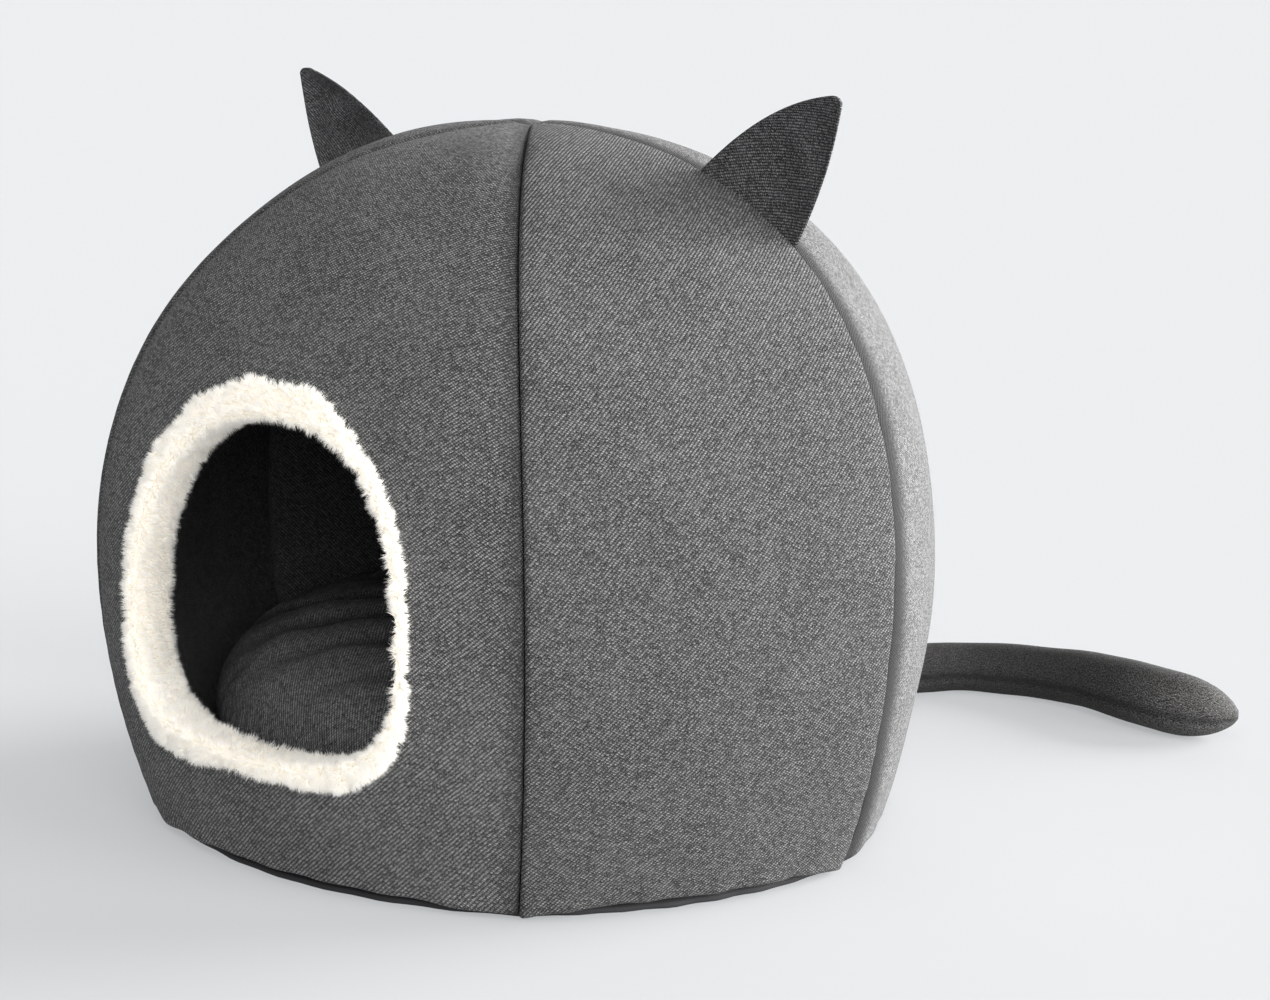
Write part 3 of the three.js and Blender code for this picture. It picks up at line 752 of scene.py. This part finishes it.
def make_panel(panel):
    """One foam-backed panel of the dome: a shell from its outside to its inside, with its twill.

    The front one has the entrance cut in it.
    """
    row = PANELS[panel]
    outer, inner, cloth, shade = panel_grids(panel)
    kept = cut_entrance(outer, inner, cloth) if panel == FRONT else None
    points, faces = shell(outer, inner, kept)
    cloth = np.concatenate([cloth.reshape(-1, 3), cloth.reshape(-1, 3) + (0, 0, WALL)])
    # The inside of the panel takes at least the painted shade of the inside of the bed.
    shade = np.append(shade, np.maximum(shade, INSIDE_PAINTED_SHADE))
    points, faces, cloth, shade = used_only(points, faces, cloth, shade)
    points[:, 2] = np.maximum(points[:, 2], 0)
    # Each panel's tone lightens or darkens its twill: painted light and shade.
    material = cloth_of("wall", f"twill_{row['node']}", row["wale"], row["tone"])
    piece = new_piece(f"{row['node']}_panel", points, faces, material, {"cloth": cloth, "shade": shade})
    dress(piece, row["node"])


# The plush band's section, from the cut edge round the outer face, through the wall and back over the inner
# face. A place is outwards from the cut edge by a share of the flap and the millimetres added. It stands off
# the face by a share of the roll and the millimetres off. Through is the share of the wall in front of it.
BAND_SECTION = table(
    "flap_share added roll_share off through",
    (0.0, -0.5, 0.0, 0.5, 0.0),
    (1.0, -1.4, 0.0, 0.5, 0.0),
    (1.0, 0.0, 0.3, 0.3, 0.0),
    (0.92, 0.0, 0.8, 0.0, 0.0),
    (0.5, 0.0, 1.0, 0.0, 0.0),
    (0.1, -0.7, 0.8, 0.0, 0.0),
    (0.0, -1.5, 0.25, 0.0, 0.0),
    (0.0, -1.6, 0.0, 0.0, 0.3),
    (0.0, -1.5, 0.0, 0.0, 0.7),
    (0.0, -1.2, 0.0, 0.5, 1.0),
    (0.0, -0.2, 0.0, 1.6, 1.0),
    (0.45, 0.0, 0.0, 2.2, 1.0),
    (1.0, -0.6, 0.0, 1.9, 1.0),
    (1.0, 0.4, 0.0, 1.1, 1.0),
    (1.0, -1.4, 0.0, 0.5, 1.0),
    (0.0, -0.5, 0.0, 0.5, 1.0),
)
BAND_BARE_ROWS = 1.4  # how many rows, from either end of the section, lie against the panel and bear no pile
BAND_STEPS = {"around": 200, "section": 56}
RAGGED_FLAP = 7.0  # the flap's width from which its random relief is full
# The height and the tone that the band's cloth has in the plush, as if it were part of a strand; its low
# height gives it the root's darker colour, which is painted shade.
# BAND_STRAND = (0.2, 0.5)
BAND_STRAND = (0.2, 0.5)


def band_grid():
    """Points of the plush band's cloth, sections by steps round the entrance, and their through shares.

    A smooth closed curve runs through the rows of the section. A row's Y lies between the wall's two faces
    by its through share. The flap and the roll have a small random relief of their own.
    """
    x, z, out_x, out_z = entrance_edge(full_turn(BAND_STEPS["around"]))
    flap = smooth_through(np.array(FLAP), BAND_STEPS["around"], closed=True)
    flap += relief("flap", x, z) * np.clip(flap / RAGGED_FLAP, 0, 1)
    roll = ROLL + relief("roll", x, z)
    rows = []
    for row in BAND_SECTION:
        along = row["flap_share"] * flap + row["added"]
        at_x, at_z = x + out_x * along, z + out_z * along
        off = row["roll_share"] * roll + row["off"]
        outside = face_y(FRONT, at_x, at_z, 0.0) - off
        inside = face_y(FRONT, at_x, at_z, WALL) + off
        share = np.full_like(x, row["through"])
        rows.append(np.stack([at_x, lerp(outside, inside, share), at_z, share], -1))
    smooth = smooth_through(np.array(rows), BAND_STEPS["section"], closed=True)
    return smooth[..., :3], np.clip(smooth[..., 3:], 0, 1)


def grid_normals(grid):
    """Outward directions on a grid that closes both ways: along its columns crossed with along its rows."""
    right = np.roll(grid, -1, 1) - np.roll(grid, 1, 1)
    above = np.roll(grid, -1, 0) - np.roll(grid, 1, 0)
    return unit(np.cross(right, above))


def sample(grid, row, column):
    """Values of a closed grid between its points, mixed straight from the four round each place."""
    i, j = np.floor(row).astype(int), np.floor(column).astype(int)
    s, t = (row - i)[:, None], (column - j)[:, None]
    at = lambda a, b: grid[a % grid.shape[0], b % grid.shape[1]]
    return lerp(lerp(at(i, j), at(i, j + 1), t), lerp(at(i + 1, j), at(i + 1, j + 1), t), s)


# The pile: its strands' length, which is another in the wall than on its faces, their thickness at the root,
# how deep they are rooted, and how they lean and sag as shares of their length. Spreads are from the least to
# the most of a random share.
STRANDS = {
    "pieces": 3,
    "seed": 100,
    "count": 49000,
    "length": 4.9,
    "in_wall": 5.2,
    "length_spread": (0.6, 1.1),
    "radius": 0.2,
    "radius_spread": (0.7, 1.2),
    "rooted": 0.4,
    "outwards": 0.75,
    "inwards": 0.55,
    "stray": 0.42,
    "sag": 0.15,
    "root_height": 0.1,
}
# The locks that the strands gather into: their size in steps of the band's grid, how far strands are drawn to
# a lock's tip, and how much of a strand's tone is its lock's.
LOCKS = {
    "seed": 99,
    "sections": 1.2,
    "around": 0.42,
    "length_spread": (0.75, 1.15),
    "stray": 0.45,
    "gather": 0.6,
    "gather_spread": (0.3, 1.2),
    "tone_share": 0.6,
}


def pile_tips(grid, row, column, length, stray):
    """Where strands that are rooted at places of the grid end.

    Each stands square to the cloth. On the faces it leans away from the entrance's middle, and between
    them towards the inside of the bed, with a swirl that neighbours share and a stray part of its own.
    """
    root, normal = sample(grid, row, column), unit(sample(grid_normals(grid), row, column))
    x, z = root[:, 0], root[:, 2]
    away = unit(np.stack([x - ENTRANCE["middle"], 0 * x, z - ENTRANCE["widest_at"]], -1))
    swirl = np.stack([relief("swirl", x, z + 3 * root[:, 1], part) for part in range(3)], -1)
    on_face = np.abs(normal[:, 1:2])
    lean = away * STRANDS["outwards"] * on_face + (0, STRANDS["inwards"], 0) * (1 - on_face)
    lean = lean + swirl + stray - (0, 0, STRANDS["sag"])
    return root + unit(normal + lean) * lerp(STRANDS["in_wall"], STRANDS["length"], on_face) * length


def make_strands(grid, through, index, material):
    """Strands of pile on the band: slim three-sided spikes at random places, each drawn to its lock's tip.

    A lock is a cell of a coarse grid along and round the band, with its own random middle and lean.
    """
    draw, lock_draw = np.random.default_rng(STRANDS["seed"] + index), np.random.default_rng(LOCKS["seed"])
    count = STRANDS["count"]
    sections, around = grid.shape[:2]
    bare = BAND_BARE_ROWS / len(BAND_SECTION) * sections
    row, column = draw.uniform(bare, sections - bare, count), draw.uniform(0, around, count)
    cells = (int(sections / LOCKS["sections"]) + 1, int(around / LOCKS["around"]) + 1)
    lock = (row / LOCKS["sections"]).astype(int) * cells[1] + (column / LOCKS["around"]).astype(int)
    locks = cells[0] * cells[1]
    lock_row, lock_column = np.divmod(np.arange(locks), cells[1])
    lock_row = (lock_row + lock_draw.uniform(0, 1, locks)) * LOCKS["sections"]
    lock_column = (lock_column + lock_draw.uniform(0, 1, locks)) * LOCKS["around"]
    lock_stray = lock_draw.normal(0, LOCKS["stray"], (locks, 3))
    lock_length = lock_draw.uniform(*LOCKS["length_spread"], (locks, 1))
    lock_tips = pile_tips(grid, lock_row, lock_column, lock_length, lock_stray)
    length = draw.uniform(*STRANDS["length_spread"], (count, 1))
    own_tips = pile_tips(grid, row, column, length, draw.normal(0, STRANDS["stray"], (count, 3)))
    gather = LOCKS["gather"] * draw.uniform(*LOCKS["gather_spread"], (count, 1))
    tip = lerp(own_tips, lock_tips[lock], gather)
    root = sample(grid, row, column) - unit(sample(grid_normals(grid), row, column)) * STRANDS["rooted"]
    along = unit(tip - root)
    side = unit(np.cross(along, draw.normal(0, 1, (count, 3))))
    other = np.cross(along, side)
    corner = full_turn(3)[:, None]
    around_axis = side[:, None] * np.cos(corner) + other[:, None] * np.sin(corner)
    radius = STRANDS["radius"] * draw.uniform(*STRANDS["radius_spread"], (count, 1, 1))
    points = np.concatenate([root[:, None] + around_axis * radius, tip[:, None]], axis=1)
    faces = np.array([[0, 1, 3], [1, 2, 3], [2, 0, 3], [0, 2, 1]])[None] + 4 * np.arange(count)[:, None, None]
    height = np.tile([STRANDS["root_height"]] * 3 + [1.0], (count, 1))
    lock_tone = lock_draw.uniform(0, 1, (locks, 1))[lock]
    tone = lerp(draw.uniform(0, 1, (count, 1)), lock_tone, LOCKS["tone_share"]).repeat(4, axis=1)
    depth = sample(through, row, column).repeat(4, axis=1)
    strand = np.stack([height, tone, depth], -1).reshape(-1, 3)
    name = f"entrance_pile_{index + 1}"
    piece = new_piece(name, points.reshape(-1, 3), [faces.reshape(-1, 3)], material, {"strand": strand})
    dress(piece)


def make_entrance():
    """The plush band: its cloth, which wraps the cut edge of the wall, and its pile."""
    material = plush()
    grid, through = band_grid()
    faces = grid_quads(*grid.shape[:2], closed_columns=True, closed_rows=True).reshape(-1, 4)
    strand = np.concatenate([np.full_like(through, value) for value in BAND_STRAND] + [through], -1)
    attributes = {"strand": strand.reshape(-1, 3)}
    band = new_piece("entrance_band", grid.reshape(-1, 3), [faces], material, attributes)
    dress(band, "entrance_trim")
    for index in range(STRANDS["pieces"]):
        make_strands(grid, through, index, material)


CUSHION = {
    "radius": 153.0,
    "middle": 42.0,
    "rise": 60.0,
    "drop": 44.0,
    "underside": 2.9,
    "top_power": 3.0,
    "under_power": 4.0,
}
CUSHION_STEPS = {"around": 96, "below": 10, "above": 26}
# The cushion starts smaller than it ends, and the air pressure of the simulation fills it.
FILLING = {"start_scale": 0.972, "voxel": 5.0, "pressure": 4.0, "frames": 20, "travel": 7.0}
# Soft troughs across the top: place along the azimuth, bend over half the width, and size.
CREASE_AZIMUTH = 39.8
CREASES = table(
    "place bend depth width",
    (-112.0, 26.0, 3.6, 5.5),
    (-78.0, 30.0, 5.6, 6.0),
    (-44.0, 34.0, 5.0, 7.0),
    (-8.0, 30.0, 5.2, 6.5),
    (34.0, 24.0, 3.0, 8.0),
    (80.0, 20.0, 2.6, 8.0),
)
CREASE_STRENGTH = 0.8
CREASE_FADE = 6
# Painted shade in the creases' troughs: the most it darkens the cloth, and the trough depth over which it
# comes on.
CREASE_PAINTED_SHADE = {"most": 0.75, "depth": 3.0}
# The rim's seam, how far its puckers reach, and from what share of the radius on both act.
RIM_SEAM = {"depth": 2.4, "width": 2.6, "pucker_reach": 14.0, "from": 0.8}


def cushion_rings(scale):
    """Rings of the filled cushion: radius and height on a superellipse, with its own power under the rim."""
    below, above = CUSHION_STEPS["below"], CUSHION_STEPS["above"]
    angle = np.concatenate([np.linspace(-90, 0, below, endpoint=False)[1:], np.linspace(0, 90, above)[:-1]])
    s, c = np.sin(np.radians(angle))[:, None], np.cos(np.radians(angle))[:, None]
    power = np.where(s >= 0, CUSHION["top_power"], CUSHION["under_power"])
    reach = np.where(s >= 0, CUSHION["rise"], CUSHION["drop"])
    radius = CUSHION["radius"] * c ** (2 / power) * scale
    height = CUSHION["middle"] + np.sign(s) * np.abs(s) ** (2 / power) * reach * scale
    azimuth = full_turn(CUSHION_STEPS["around"])[None, :]
    return np.stack([radius * np.cos(azimuth), radius * np.sin(azimuth), height + 0 * azimuth], -1)


def mesh_arrays(piece):
    """The points in millimetres and the quads of a piece as its modifiers leave it."""
    shown = piece.evaluated_get(bpy.context.evaluated_depsgraph_get())
    mesh = shown.to_mesh()
    points = np.empty(len(mesh.vertices) * 3, np.float32)
    corners = np.empty(len(mesh.loops), np.int32)
    mesh.vertices.foreach_get("co", points)
    mesh.loops.foreach_get("vertex_index", corners)
    shown.to_mesh_clear()
    return points.reshape(-1, 3).astype(float) / MM, corners.reshape(-1, 4)


def fill_with_air(piece):
    """Blows the closed piece up as cloth, limits how far each point moves, and leaves plain quads."""
    remesh = piece.modifiers.new("Voxels", "REMESH")
    remesh.mode = "VOXEL"
    remesh.voxel_size = FILLING["voxel"] * MM
    bpy.context.view_layer.objects.active = piece
    bpy.ops.object.modifier_apply(modifier=remesh.name)
    start, _ = mesh_arrays(piece)
    cloth = piece.modifiers.new("Cloth", "CLOTH")
    cloth.settings.use_pressure = True
    cloth.settings.uniform_pressure_force = FILLING["pressure"]
    cloth.settings.effector_weights.gravity = 0
    for number in range(1, FILLING["frames"] + 1):
        bpy.context.scene.frame_set(number)
    blown, _ = mesh_arrays(piece)
    piece.modifiers.remove(cloth)
    bpy.context.scene.frame_set(1)
    travel = blown - start
    length = np.linalg.norm(travel, axis=1, keepdims=True)
    settled = start + travel * np.minimum(1, FILLING["travel"] / np.maximum(length, 1e-9))
    piece.data.vertices.foreach_set("co", (settled * MM).astype(np.float32).ravel())
    piece.data.update()


def crease_depth(x, y):
    """The trough of every crease at a place on the cushion, faded out towards its rim."""
    turn = math.radians(CREASE_AZIMUTH)
    sideways, away = x * math.cos(turn) + y * math.sin(turn), -x * math.sin(turn) + y * math.cos(turn)
    depth = np.zeros_like(x)
    for number, crease in enumerate(CREASES):
        bend = crease["bend"] * (sideways / CUSHION["radius"]) ** 2
        middle = crease["place"] + bend + relief("crease_wander", sideways, 0.0, number)
        strength = CREASE_STRENGTH + relief("crease_strength", sideways, 0.0, number)
        depth += crease["depth"] * strength * fade(away - middle, crease["width"], 2)
    left = 1 - (np.hypot(x, y) / CUSHION["radius"]) ** CREASE_FADE
    return depth * np.clip(left, 0, None)


def finish_cushion(points):
    """Adds the creases, small wrinkles and the puckered rim seam, and keeps it off the base cloth."""
    x, y, z = points.T
    radius = np.hypot(x, y)
    top = np.clip((z - CUSHION["middle"]) / CUSHION["rise"], 0, 1)
    z -= crease_depth(x, y) * np.sqrt(top) + top * relief("cushion_wrinkle", x, y)
    off_seam = z - CUSHION["middle"]
    at_rim = np.clip(radius / CUSHION["radius"] - RIM_SEAM["from"], 0, None) / (1 - RIM_SEAM["from"])
    gather = relief("rim_pucker", np.arctan2(y, x) * CUSHION["radius"], 0.0)
    inwards = RIM_SEAM["depth"] * fade(off_seam, RIM_SEAM["width"], 2)
    inwards += gather * fade(np.abs(off_seam), RIM_SEAM["pucker_reach"])
    share = 1 - inwards * at_rim / np.maximum(radius, 1)
    return np.stack([x * share, y * share, np.maximum(z, CUSHION["underside"])], -1)


def disc_cloth(points, middle):
    """Flat cloth of a round filled form: each point keeps its azimuth and lies as far out as its arc is long.

    The arc is taken as the straight way out from the axis plus half of how far the form has come down.
    """
    radius = np.hypot(points[:, 0], points[:, 1])
    highest = points[:, 2].max()
    down = np.where(points[:, 2] > middle, highest - points[:, 2], points[:, 2])
    out = (radius + down / 2 * radius / radius.max()) / np.maximum(radius, 1e-6)
    return np.stack([points[:, 0] * out, points[:, 1] * out, points[:, 2]], -1)


def make_cushion():
    """The filled cushion: blown up by the cloth simulation, made finer, creased and sewn round its rim."""
    material = cloth_of("cushion", "twill_cushion", CUSHION_WALE)
    points, faces = loft(cushion_rings(FILLING["start_scale"]))
    rough = new_piece("cushion_start", points, faces, material)
    fill_with_air(rough)
    finer = rough.modifiers.new("Finer", "SUBSURF")
    finer.levels = finer.render_levels = 1
    points, quads = mesh_arrays(rough)
    faces = [quads]
    bpy.data.objects.remove(rough)
    # Painted shade: the cloth is darker where the creases' troughs are deep.
    trough = crease_depth(points[:, 0], points[:, 1]) * (points[:, 2] > CUSHION["middle"])
    shade = CREASE_PAINTED_SHADE["most"] * (1 - fade(trough, CREASE_PAINTED_SHADE["depth"], 2))
    points = finish_cushion(points)
    attributes = {"cloth": disc_cloth(points, CUSHION["middle"]), "shade": shade}
    piece = new_piece("cushion_filled", points, faces, material, attributes)
    dress(piece, "cushion")


# An ear stands in its seam, between two heights of it. Its tip bulges a little, with a power that keeps that
# to the very end. Half thicknesses are at its edges and its middle, and least is the edges' share of theirs
# where they have turned over. A bow is how far the middle of an edge lies off straight, as outwards and up.
EAR = {
    "base_top": 307.3,
    "base_low": 275.7,
    "sunk": 6.15,
    "tip_half_width": 3.4,
    "tip_round": 1.8,
    "tip_power": 8,
    "edge_half": 1.0,
    "edge_least": 0.25,
    "middle_half": 3.0,
    "cup": 7.5,
    "lower_bow": (3.0, -1.0),
    "fold_across": 60.0,
    "fold_up": 90.0,
}
EAR_STEPS = {"across": 48, "up": 56}
# A tip's place is its distance from the dome's axis and its height.
EARS = table(
    "name seam tip upper_bow wale",
    ("ear_right", RIGHT_EAR_SEAM, (155.5, 343.0), (0.0, 7.6), 37.0),
    ("ear_left", LEFT_EAR_SEAM, (153.5, 336.0), (0.0, 4.3), 80.0),
)


def bowed_line(start, end, bow, outwards, share):
    """A quadratic curve from start to end whose middle lies off the straight line by bow: (outwards, up)."""
    knee = (start + end) / 2 + 2 * (outwards * bow[0] + np.array([0, 0, bow[1]]))
    return start * (1 - share) ** 2 + 2 * knee * share * (1 - share) + end * share**2


def ear_grid(row, side):
    """One side of an ear: across from its upper edge to its lower one, and up from its seam to its tip.

    The cloth lies between two bowed edges. It is hollowed towards the back by the cup, has a gentle fold,
    is thickest in its middle, and its edges turn over in a half round.
    """
    across = np.linspace(0, 1, EAR_STEPS["across"] + 1)[None, :, None]
    up = np.linspace(0, 1, EAR_STEPS["up"] + 1)[:, None, None]
    azimuth = float(seam_azimuth(row["seam"], EAR["base_low"] / DOME["height"]))
    outwards = np.array([math.sin(azimuth), -math.cos(azimuth), 0.0])
    front = np.array([math.cos(azimuth), math.sin(azimuth), 0.0])
    front *= -np.sign(front[1])
    base = seam_point(row["seam"], lerp(EAR["base_top"], EAR["base_low"], across[..., 0]), EAR["sunk"])
    radius, height = row["tip"]
    lean = np.array([LEAN["at_crown"], 0.0, 0.0])
    width = EAR["tip_half_width"]
    high_tip = lean + outwards * (radius - width) + (0, 0, height)
    low_tip = lean + outwards * (radius + width) + (0, 0, height - width)
    upper = bowed_line(base[0, 0], high_tip, row["upper_bow"], outwards, up)
    lower = bowed_line(base[0, -1], low_tip, EAR["lower_bow"], outwards, up)
    straight_base = lerp(base[0, 0], base[0, -1], across)
    surface = lerp(upper, lower, across) + (base - straight_base) * (1 - up) ** 2
    middle = 4 * across * (1 - across)
    along = unit(high_tip + low_tip - base[0, 0] - base[0, -1])
    surface = surface + along * EAR["tip_round"] * middle * up ** EAR["tip_power"]
    belly = np.sin(np.pi * up)
    from_edge = np.minimum(across, 1 - across) * np.linalg.norm(upper - lower, axis=-1, keepdims=True)
    turned = 1 - quarter_round(from_edge, EAR["edge_half"]) / EAR["edge_half"]
    half = EAR["edge_half"] * lerp(EAR["edge_least"], 1.0, turned)
    half = half + (EAR["middle_half"] - EAR["edge_half"]) * middle * belly**2
    x, y = across[..., 0] * EAR["fold_across"], up[..., 0] * EAR["fold_up"]
    fold = relief("ear_fold", x, y, row["seam"])[..., None] * middle * belly
    return surface + front * (side * half - (EAR["cup"] * middle + fold) * belly)


def make_ear(row):
    """An ear: front and back cloth, closed along both edges and at the blunt tip."""
    sides = [ear_grid(row, 1.0), ear_grid(row, -1.0)]
    if row["seam"] != RIGHT_EAR_SEAM:
        sides.reverse()
    points, faces = shell(*sides)
    cloth = np.tile(flat_cloth(sides[0]).reshape(-1, 3), (2, 1))
    material = cloth_of("ear", f"twill_{row['name']}", row["wale"])
    piece = new_piece(f"{row['name']}_cloth", points, faces, material, {"cloth": cloth})
    dress(piece, row["name"])


# The tail's middle line, as x, y and height above the floor, and the tail's radius.
TAIL = [
    (0.0, 180.0, 17.5, 13.0),
    (0.5, 192.0, 17.3, 13.0),
    (2.0, 210.0, 16.0, 13.0),
    (6.0, 240.0, 13.6, 13.0),
    (12.0, 262.0, 13.0, 13.0),
    (20.0, 284.0, 13.0, 13.0),
    (32.0, 303.0, 13.1, 13.1),
    (50.0, 319.0, 13.2, 13.2),
    (75.0, 329.0, 13.8, 13.8),
    (105.0, 331.0, 14.8, 14.8),
    (132.0, 326.0, 15.9, 15.9),
    (155.0, 320.0, 16.6, 16.6),
    (172.0, 318.0, 16.4, 16.4),
    (184.0, 320.0, 15.4, 14.6),
    (193.0, 323.5, 14.4, 11.4),
    (199.0, 326.5, 13.8, 7.0),
    (202.0, 328.5, 13.6, 2.6),
]
TAIL_STEPS = {"along": 210, "around": 44}
TAIL_ROOT_GAP = 0.4
TAIL_SLIM = 13.0  # the radius below which the seam, puckers and lumps get smaller
# The tail's seam: its angle, width and the reach of its puckers in degrees round the tail, its depth, the
# radius at which the puckers are drawn, and how much darker painted shade makes the cloth in it.
TAIL_SEAM = {"angle": 193.0, "width": 7.0, "reach": 21.0, "depth": 1.5, "radius": 12.0, "shade": 0.6}
# Painted light and shade: how much darker than its light end the tail's cloth is made at places along it, as
# shares of its length.
TAIL_PAINTED_SHADE = {"places": (0.0, 0.6, 0.8, 0.9, 1.0), "shades": (0.76, 0.71, 0.6, 0.3, 0.12)}


def make_tail():
    """The stuffed tail: rings square to a smooth line, with one seam along it and puckers beside the seam.

    A ring's angle starts at its left side and goes up. Its radius is the tail's own, less the seam's trough,
    the puckers and soft lumps. Below the middle it flattens a little where it rests on the floor.
    """
    line = smooth_through(np.array(TAIL), TAIL_STEPS["along"])
    middle, own = line[:, :3], line[:, 3:]
    forward = unit(np.gradient(middle, axis=0))
    side = unit(np.stack([-forward[:, 1], forward[:, 0], 0 * forward[:, 0]], -1))
    above = np.cross(forward, side)
    length = run_length(middle)[:, None]
    angle = full_turn(TAIL_STEPS["around"])[None, :]
    from_seam = np.degrees(np.abs((angle - math.radians(TAIL_SEAM["angle"]) + np.pi) % (2 * np.pi) - np.pi))
    at_seam = fade(from_seam, TAIL_SEAM["width"], 2)
    near_seam = fade(from_seam, TAIL_SEAM["reach"])
    inwards = TAIL_SEAM["depth"] * at_seam
    inwards = inwards + relief("tail_pucker", length, TAIL_SEAM["radius"] * angle) * near_seam
    inwards += relief("tail_lump", length, TAIL_SLIM * np.sin(angle))
    radius = (own - inwards * np.clip(own / TAIL_SLIM, 0, 1))[..., None]
    turn = angle[..., None]
    rings = middle[:, None] + side[:, None] * radius * np.cos(turn) + above[:, None] * radius * np.sin(turn)
    rings[0, :, 1] = face_y(BACK, rings[0, :, 0], rings[0, :, 2], 0.0) + TAIL_ROOT_GAP
    rings[..., 2] = np.maximum(rings[..., 2], 0)
    points, faces = loft(rings)
    x, y = np.broadcast_arrays(length, own.max() * angle)
    cloth = np.stack([x, y, 0 * x], -1).reshape(-1, 3)
    cloth = np.concatenate([cloth, cloth[[0, -1]]])
    # Painted light and shade: the tail is lighter towards its end, darker towards its root and in its seam.
    shade = np.interp(length / length.max(), TAIL_PAINTED_SHADE["places"], TAIL_PAINTED_SHADE["shades"])
    shade = 1 - (1 - shade) * (1 - TAIL_SEAM["shade"] * at_seam)
    shade = np.append(shade, np.take(TAIL_PAINTED_SHADE["shades"], [0, -1]))
    material = cloth_of("tail", "twill_tail", TAIL_WALE)
    piece = new_piece("tail_stuffed", points, faces, material, {"cloth": cloth, "shade": shade})
    dress(piece, "tail")


BASE = {"thickness": 2.5, "inset_at_seam": 7.5, "inset_between": 3.2, "steps": 32, "rings": 14}


def make_base():
    """The base cloth: the outline of the panels' foot drawn in by an inset, filled by rings to its middle."""
    across = np.linspace(-1, 1, BASE["steps"], endpoint=False)
    foot = np.concatenate([panel_point(k, across, 0.0, 0.0) for k in range(len(PANELS))])
    radius = np.linalg.norm(foot[:, :2], axis=1)
    length = np.arange(len(foot)) * 2 * np.pi * radius.mean() / len(foot)
    inset = np.tile(lerp(BASE["inset_between"], BASE["inset_at_seam"], across**2), len(PANELS))
    rim_radius = radius - inset + relief("base_rim", length, 0.0)
    rim = foot[:, :2] * (rim_radius / radius)[:, None]
    share = np.linspace(0, 1, BASE["rings"] + 1)[1:, None, None]
    under, top = (np.insert(rim * share, 2, height, axis=-1) for height in (0.0, BASE["thickness"]))
    points, faces = loft(np.concatenate([under, top[::-1]]))
    piece = new_piece("base_cloth", points, faces, nonwoven(), {"cloth": points})
    dress(piece, "base_sheet")
    x, y = (rim * MM).T


def direction(row):
    """The unit vector at a row's azimuth and elevation, in degrees."""
    azimuth, elevation = math.radians(row["azimuth"]), math.radians(row["elevation"])
    flat = math.cos(elevation)
    return Vector((math.sin(azimuth) * flat, -math.cos(azimuth) * flat, math.sin(elevation)))


def make_camera():
    """The photograph's camera: it stands off its aim and looks at it, then makes its turns."""
    azimuth = math.radians(CAMERA["azimuth"])
    back, right = direction(CAMERA), Vector((math.cos(azimuth), math.sin(azimuth), 0))
    axes = Matrix((right, right.cross(-back), back)).transposed()
    for name, angle in CAMERA_TURNS:
        axis = axes.col[("right", "up", "back").index(name)]
        axes = Matrix.Rotation(math.radians(angle), 3, axis) @ axes
    data = bpy.data.cameras.new("camera")
    data.sensor_width = SENSOR_WIDTH
    data.lens = FOCAL_PIXELS / PICTURE_WIDTH * SENSOR_WIDTH
    data.clip_end = CAMERA_REACH
    camera = bpy.data.objects.new("camera", data)
    place = Vector(CAMERA_AIM) + back * CAMERA["distance"]
    camera.matrix_world = Matrix.Translation(place * MM) @ axes.to_4x4()
    bpy.context.scene.collection.objects.link(camera)
    bpy.context.scene.camera = camera


# Wide soft lights: the azimuth and elevation they shine from, how wide they spread, all in degrees, and
# their strength in watts for each square metre.
LIGHTS = table(
    "name azimuth elevation spread power",
    ("key", 150.0, 14.0, 40.0, 9.2),
    ("behind", 182.0, 16.0, 40.0, 1.6),
    ("right", 98.0, 14.0, 40.0, 4.0),
    ("front", 50.0, 24.0, 40.0, 2.1),
    ("left_rear", 220.0, 12.0, 40.0, 1.4),
    ("above", 0.0, 62.0, 50.0, 0.8),
)
ROOM_LIGHT = {"Color": (0.955, 0.975, 1.0, 1.0), "Strength": 0.14}
# The floor's size in metres, its paint, and the light that comes from within it.
FLOOR = {"size": 60.0, "colour": (0.25, 0.252, 0.256, 1.0), "glow": (0.95, 0.975, 1.0, 1.0), "strength": 0.39}


def make_light(row):
    data = bpy.data.lights.new(row["name"], "SUN")
    data.angle = math.radians(row["spread"])
    data.energy = row["power"]
    light = bpy.data.objects.new(row["name"], data)
    light.rotation_euler = direction(row).to_track_quat("Z", "Y").to_euler()
    bpy.context.scene.collection.objects.link(light)


def make_surroundings():
    """A plain pale floor, lit a little from within like a light table, and the even light of a white room."""
    world = bpy.data.worlds.new("room")
    world.use_nodes = True
    for name, value in ROOM_LIGHT.items():
        world.node_tree.nodes["Background"].inputs[name].default_value = value
    bpy.context.scene.world = world
    finish = Finish("floor_paint")
    finish.set(Base_Color=FLOOR["colour"], Roughness=1.0, Specular_IOR_Level=0.0)
    finish.set(Emission_Color=FLOOR["glow"], Emission_Strength=FLOOR["strength"])
    half = FLOOR["size"] / 2 / MM
    corners = np.array([[-half, -half, 0], [half, -half, 0], [half, half, 0], [-half, half, 0]])
    floor = new_piece("floor", corners, [np.array([[0, 1, 2, 3]])], finish.material)
    for row in LIGHTS:
        make_light(row)


def main():
    bpy.context.scene.view_settings.view_transform = "Standard"
    make_camera()
    make_surroundings()
    for panel in range(len(PANELS)):
        make_panel(panel)
    make_entrance()
    for row in EARS:
        make_ear(row)
    make_tail()
    make_base()
    make_cushion()


main()
